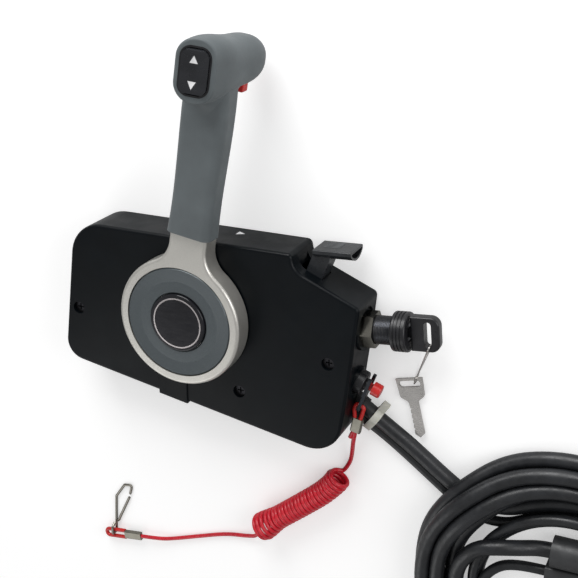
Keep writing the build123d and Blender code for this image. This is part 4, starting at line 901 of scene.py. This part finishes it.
class CONTROL_OT_finishes(bpy.types.Operator):
    """Gives every solid of the control its finish, but for the grip, which has its own"""
    bl_idname = "throttle_control.finishes"
    bl_label = "Finishes"

    def execute(self, context):
        c = context.scene.control_colours
        dress(case_plastic(c.case), "housing_cover", "back_cover", "access_plate")
        dress(silver_paint(c.silver), "lever_arm")
        dress(disc_paint(c.disc), "hub_disc")
        dress(cap_gloss(c.cap), "centre_cap")
        dress(red_plastic("Red plastic", c.red, .08), "lock_trigger", "stop_button",
              "lanyard_loop", "lanyard_eye")
        dress(bright_metal("Key nickel", c.nickel, .26, 600), "spare_key", "key_wire")
        dress(tie_nylon(), "cable_tie")
        for name, colour, roughness, solids in METALS:
            dress(bright_metal(name, colour, roughness), *solids)
        for name, colour, roughness, solids in PLASTICS:
            dress(black_plastic(name, colour, roughness), *solids)
        return {"FINISHED"}


# Stage

def floor_finish():
    """A pale floor that shows white in the picture and keeps its shadows."""
    pale = Finish("Pale floor", (.80, .80, .80), roughness=.9)
    rays = pale.add("ShaderNodeLightPath")
    seen = pale.add("ShaderNodeMath", operation="MAXIMUM", _0=rays.outputs["Is Camera Ray"],
                    _1=rays.outputs["Is Transmission Ray"])
    dark = pale.add("ShaderNodeEmission", Strength=0.0)
    white = pale.add("ShaderNodeEmission", Color=(1, 1, 1, 1), Strength=FLOOR_GLOW)
    glow = pale.add("ShaderNodeMixShader", _0=seen.outputs[0], _1=dark.outputs[0],
                    _2=white.outputs[0])
    whole = pale.add("ShaderNodeAddShader", _0=pale.shader.outputs[0], _1=glow.outputs[0])
    pale.tree.links.new(whole.outputs[0], pale.tree.nodes["Material Output"].inputs["Surface"])
    return pale.material


def white_sky(strength):
    """An even sky of that strength, plain white in the picture."""
    world = bpy.data.worlds.new("Sky")
    world.use_nodes = True
    tree = world.node_tree
    sky = tree.nodes["Background"]
    sky.inputs["Color"].default_value = (1, 1, 1, 1)
    sky.inputs["Strength"].default_value = strength
    rays = add_node(tree, "ShaderNodeLightPath")
    bright = add_node(tree, "ShaderNodeBackground", Color=(1, 1, 1, 1))
    mix = add_node(tree, "ShaderNodeMixShader", _0=rays.outputs["Is Camera Ray"],
                   _1=sky.outputs[0], _2=bright.outputs[0])
    tree.links.new(mix.outputs[0], tree.nodes["World Output"].inputs["Surface"])
    return world


class CONTROL_OT_stage(bpy.types.Operator):
    """Sets the pale floor, the soft lights and the camera"""
    bl_idname = "throttle_control.stage"
    bl_label = "Stage"

    def execute(self, context):
        scene = context.scene
        lens = bpy.data.cameras.new("Camera")
        lens.sensor_width = SENSOR_MM
        lens.lens = LENS_MM
        lens.clip_start = NEAR_CLIP
        across = CAMERA_ACROSS.normalized()
        back = across.cross(CAMERA_UP.normalized()).normalized()
        turned = Matrix((across, back.cross(across), back)).transposed().to_4x4()
        camera = add_object("Camera", lens)
        camera.matrix_world = Matrix.Translation(CAMERA_PLACE) @ turned
        scene.camera = camera
        scene.view_settings.view_transform = "Standard"

        mesh = bpy.data.meshes.new("Floor")
        corners = [(x * FLOOR_REACH, y * FLOOR_REACH, FLOOR_HEIGHT)
                   for x, y in ((-1, -1), (1, -1), (1, 1), (-1, 1))]
        mesh.from_pydata(corners, [], [(0, 1, 2, 3)])
        mesh.materials.append(floor_finish())
        floor = add_object("Floor", mesh)

        scene.world = white_sky(scene.stage_light.sky)
        for name, place, size, power, share in LIGHTS:
            light = bpy.data.lights.new(name, "AREA")
            light.energy = getattr(scene.stage_light, power) * share
            light.size = size
            lamp = add_object(name, light)
            lamp.location = place
            aim = LIGHTS_AIM - Vector(place)
            lamp.rotation_euler = aim.to_track_quat("-Z", "Y").to_euler()
        return {"FINISHED"}


class CONTROL_PT_panel(bpy.types.Panel):
    """Settings and steps of the throttle control"""
    bl_idname = "CONTROL_PT_panel"
    bl_label = "Throttle control"
    bl_space_type = "VIEW_3D"
    bl_region_type = "UI"
    bl_category = "Throttle control"

    def draw(self, context):
        for group in SETTINGS:
            box = self.layout.box()
            settings = getattr(context.scene, group)
            for name in settings.bl_rna.properties.keys():
                if name not in ("rna_type", "name"):
                    box.prop(settings, name)
        for step in STEPS:
            self.layout.operator(step.bl_idname)


SETTINGS = {"control_colours": ControlColours, "harness_sizes": HarnessSizes,
            "lanyard_sizes": LanyardSizes, "grip_sizes": GripSizes, "stage_light": StageLight}
STEPS = (CONTROL_OT_stage, CONTROL_OT_harness, CONTROL_OT_lanyard, CONTROL_OT_grip,
         CONTROL_OT_ribs, CONTROL_OT_pins, CONTROL_OT_marks, CONTROL_OT_finishes)
CLASSES = (*SETTINGS.values(), *STEPS, CONTROL_PT_panel)


def register():
    for cls in CLASSES:
        bpy.utils.register_class(cls)
    for name, group in SETTINGS.items():
        setattr(bpy.types.Scene, name, bpy.props.PointerProperty(type=group))


def unregister():
    for name in SETTINGS:
        delattr(bpy.types.Scene, name)
    for cls in reversed(CLASSES):
        bpy.utils.unregister_class(cls)


def main():
    register()
    bpy.ops.throttle_control.stage()
    bpy.ops.throttle_control.harness()
    bpy.ops.throttle_control.lanyard()
    bpy.ops.throttle_control.grip()
    bpy.ops.throttle_control.ribs()
    bpy.ops.throttle_control.pins()
    bpy.ops.throttle_control.marks()
    bpy.ops.throttle_control.finishes()
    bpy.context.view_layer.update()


if __name__ == "__main__":
    main()
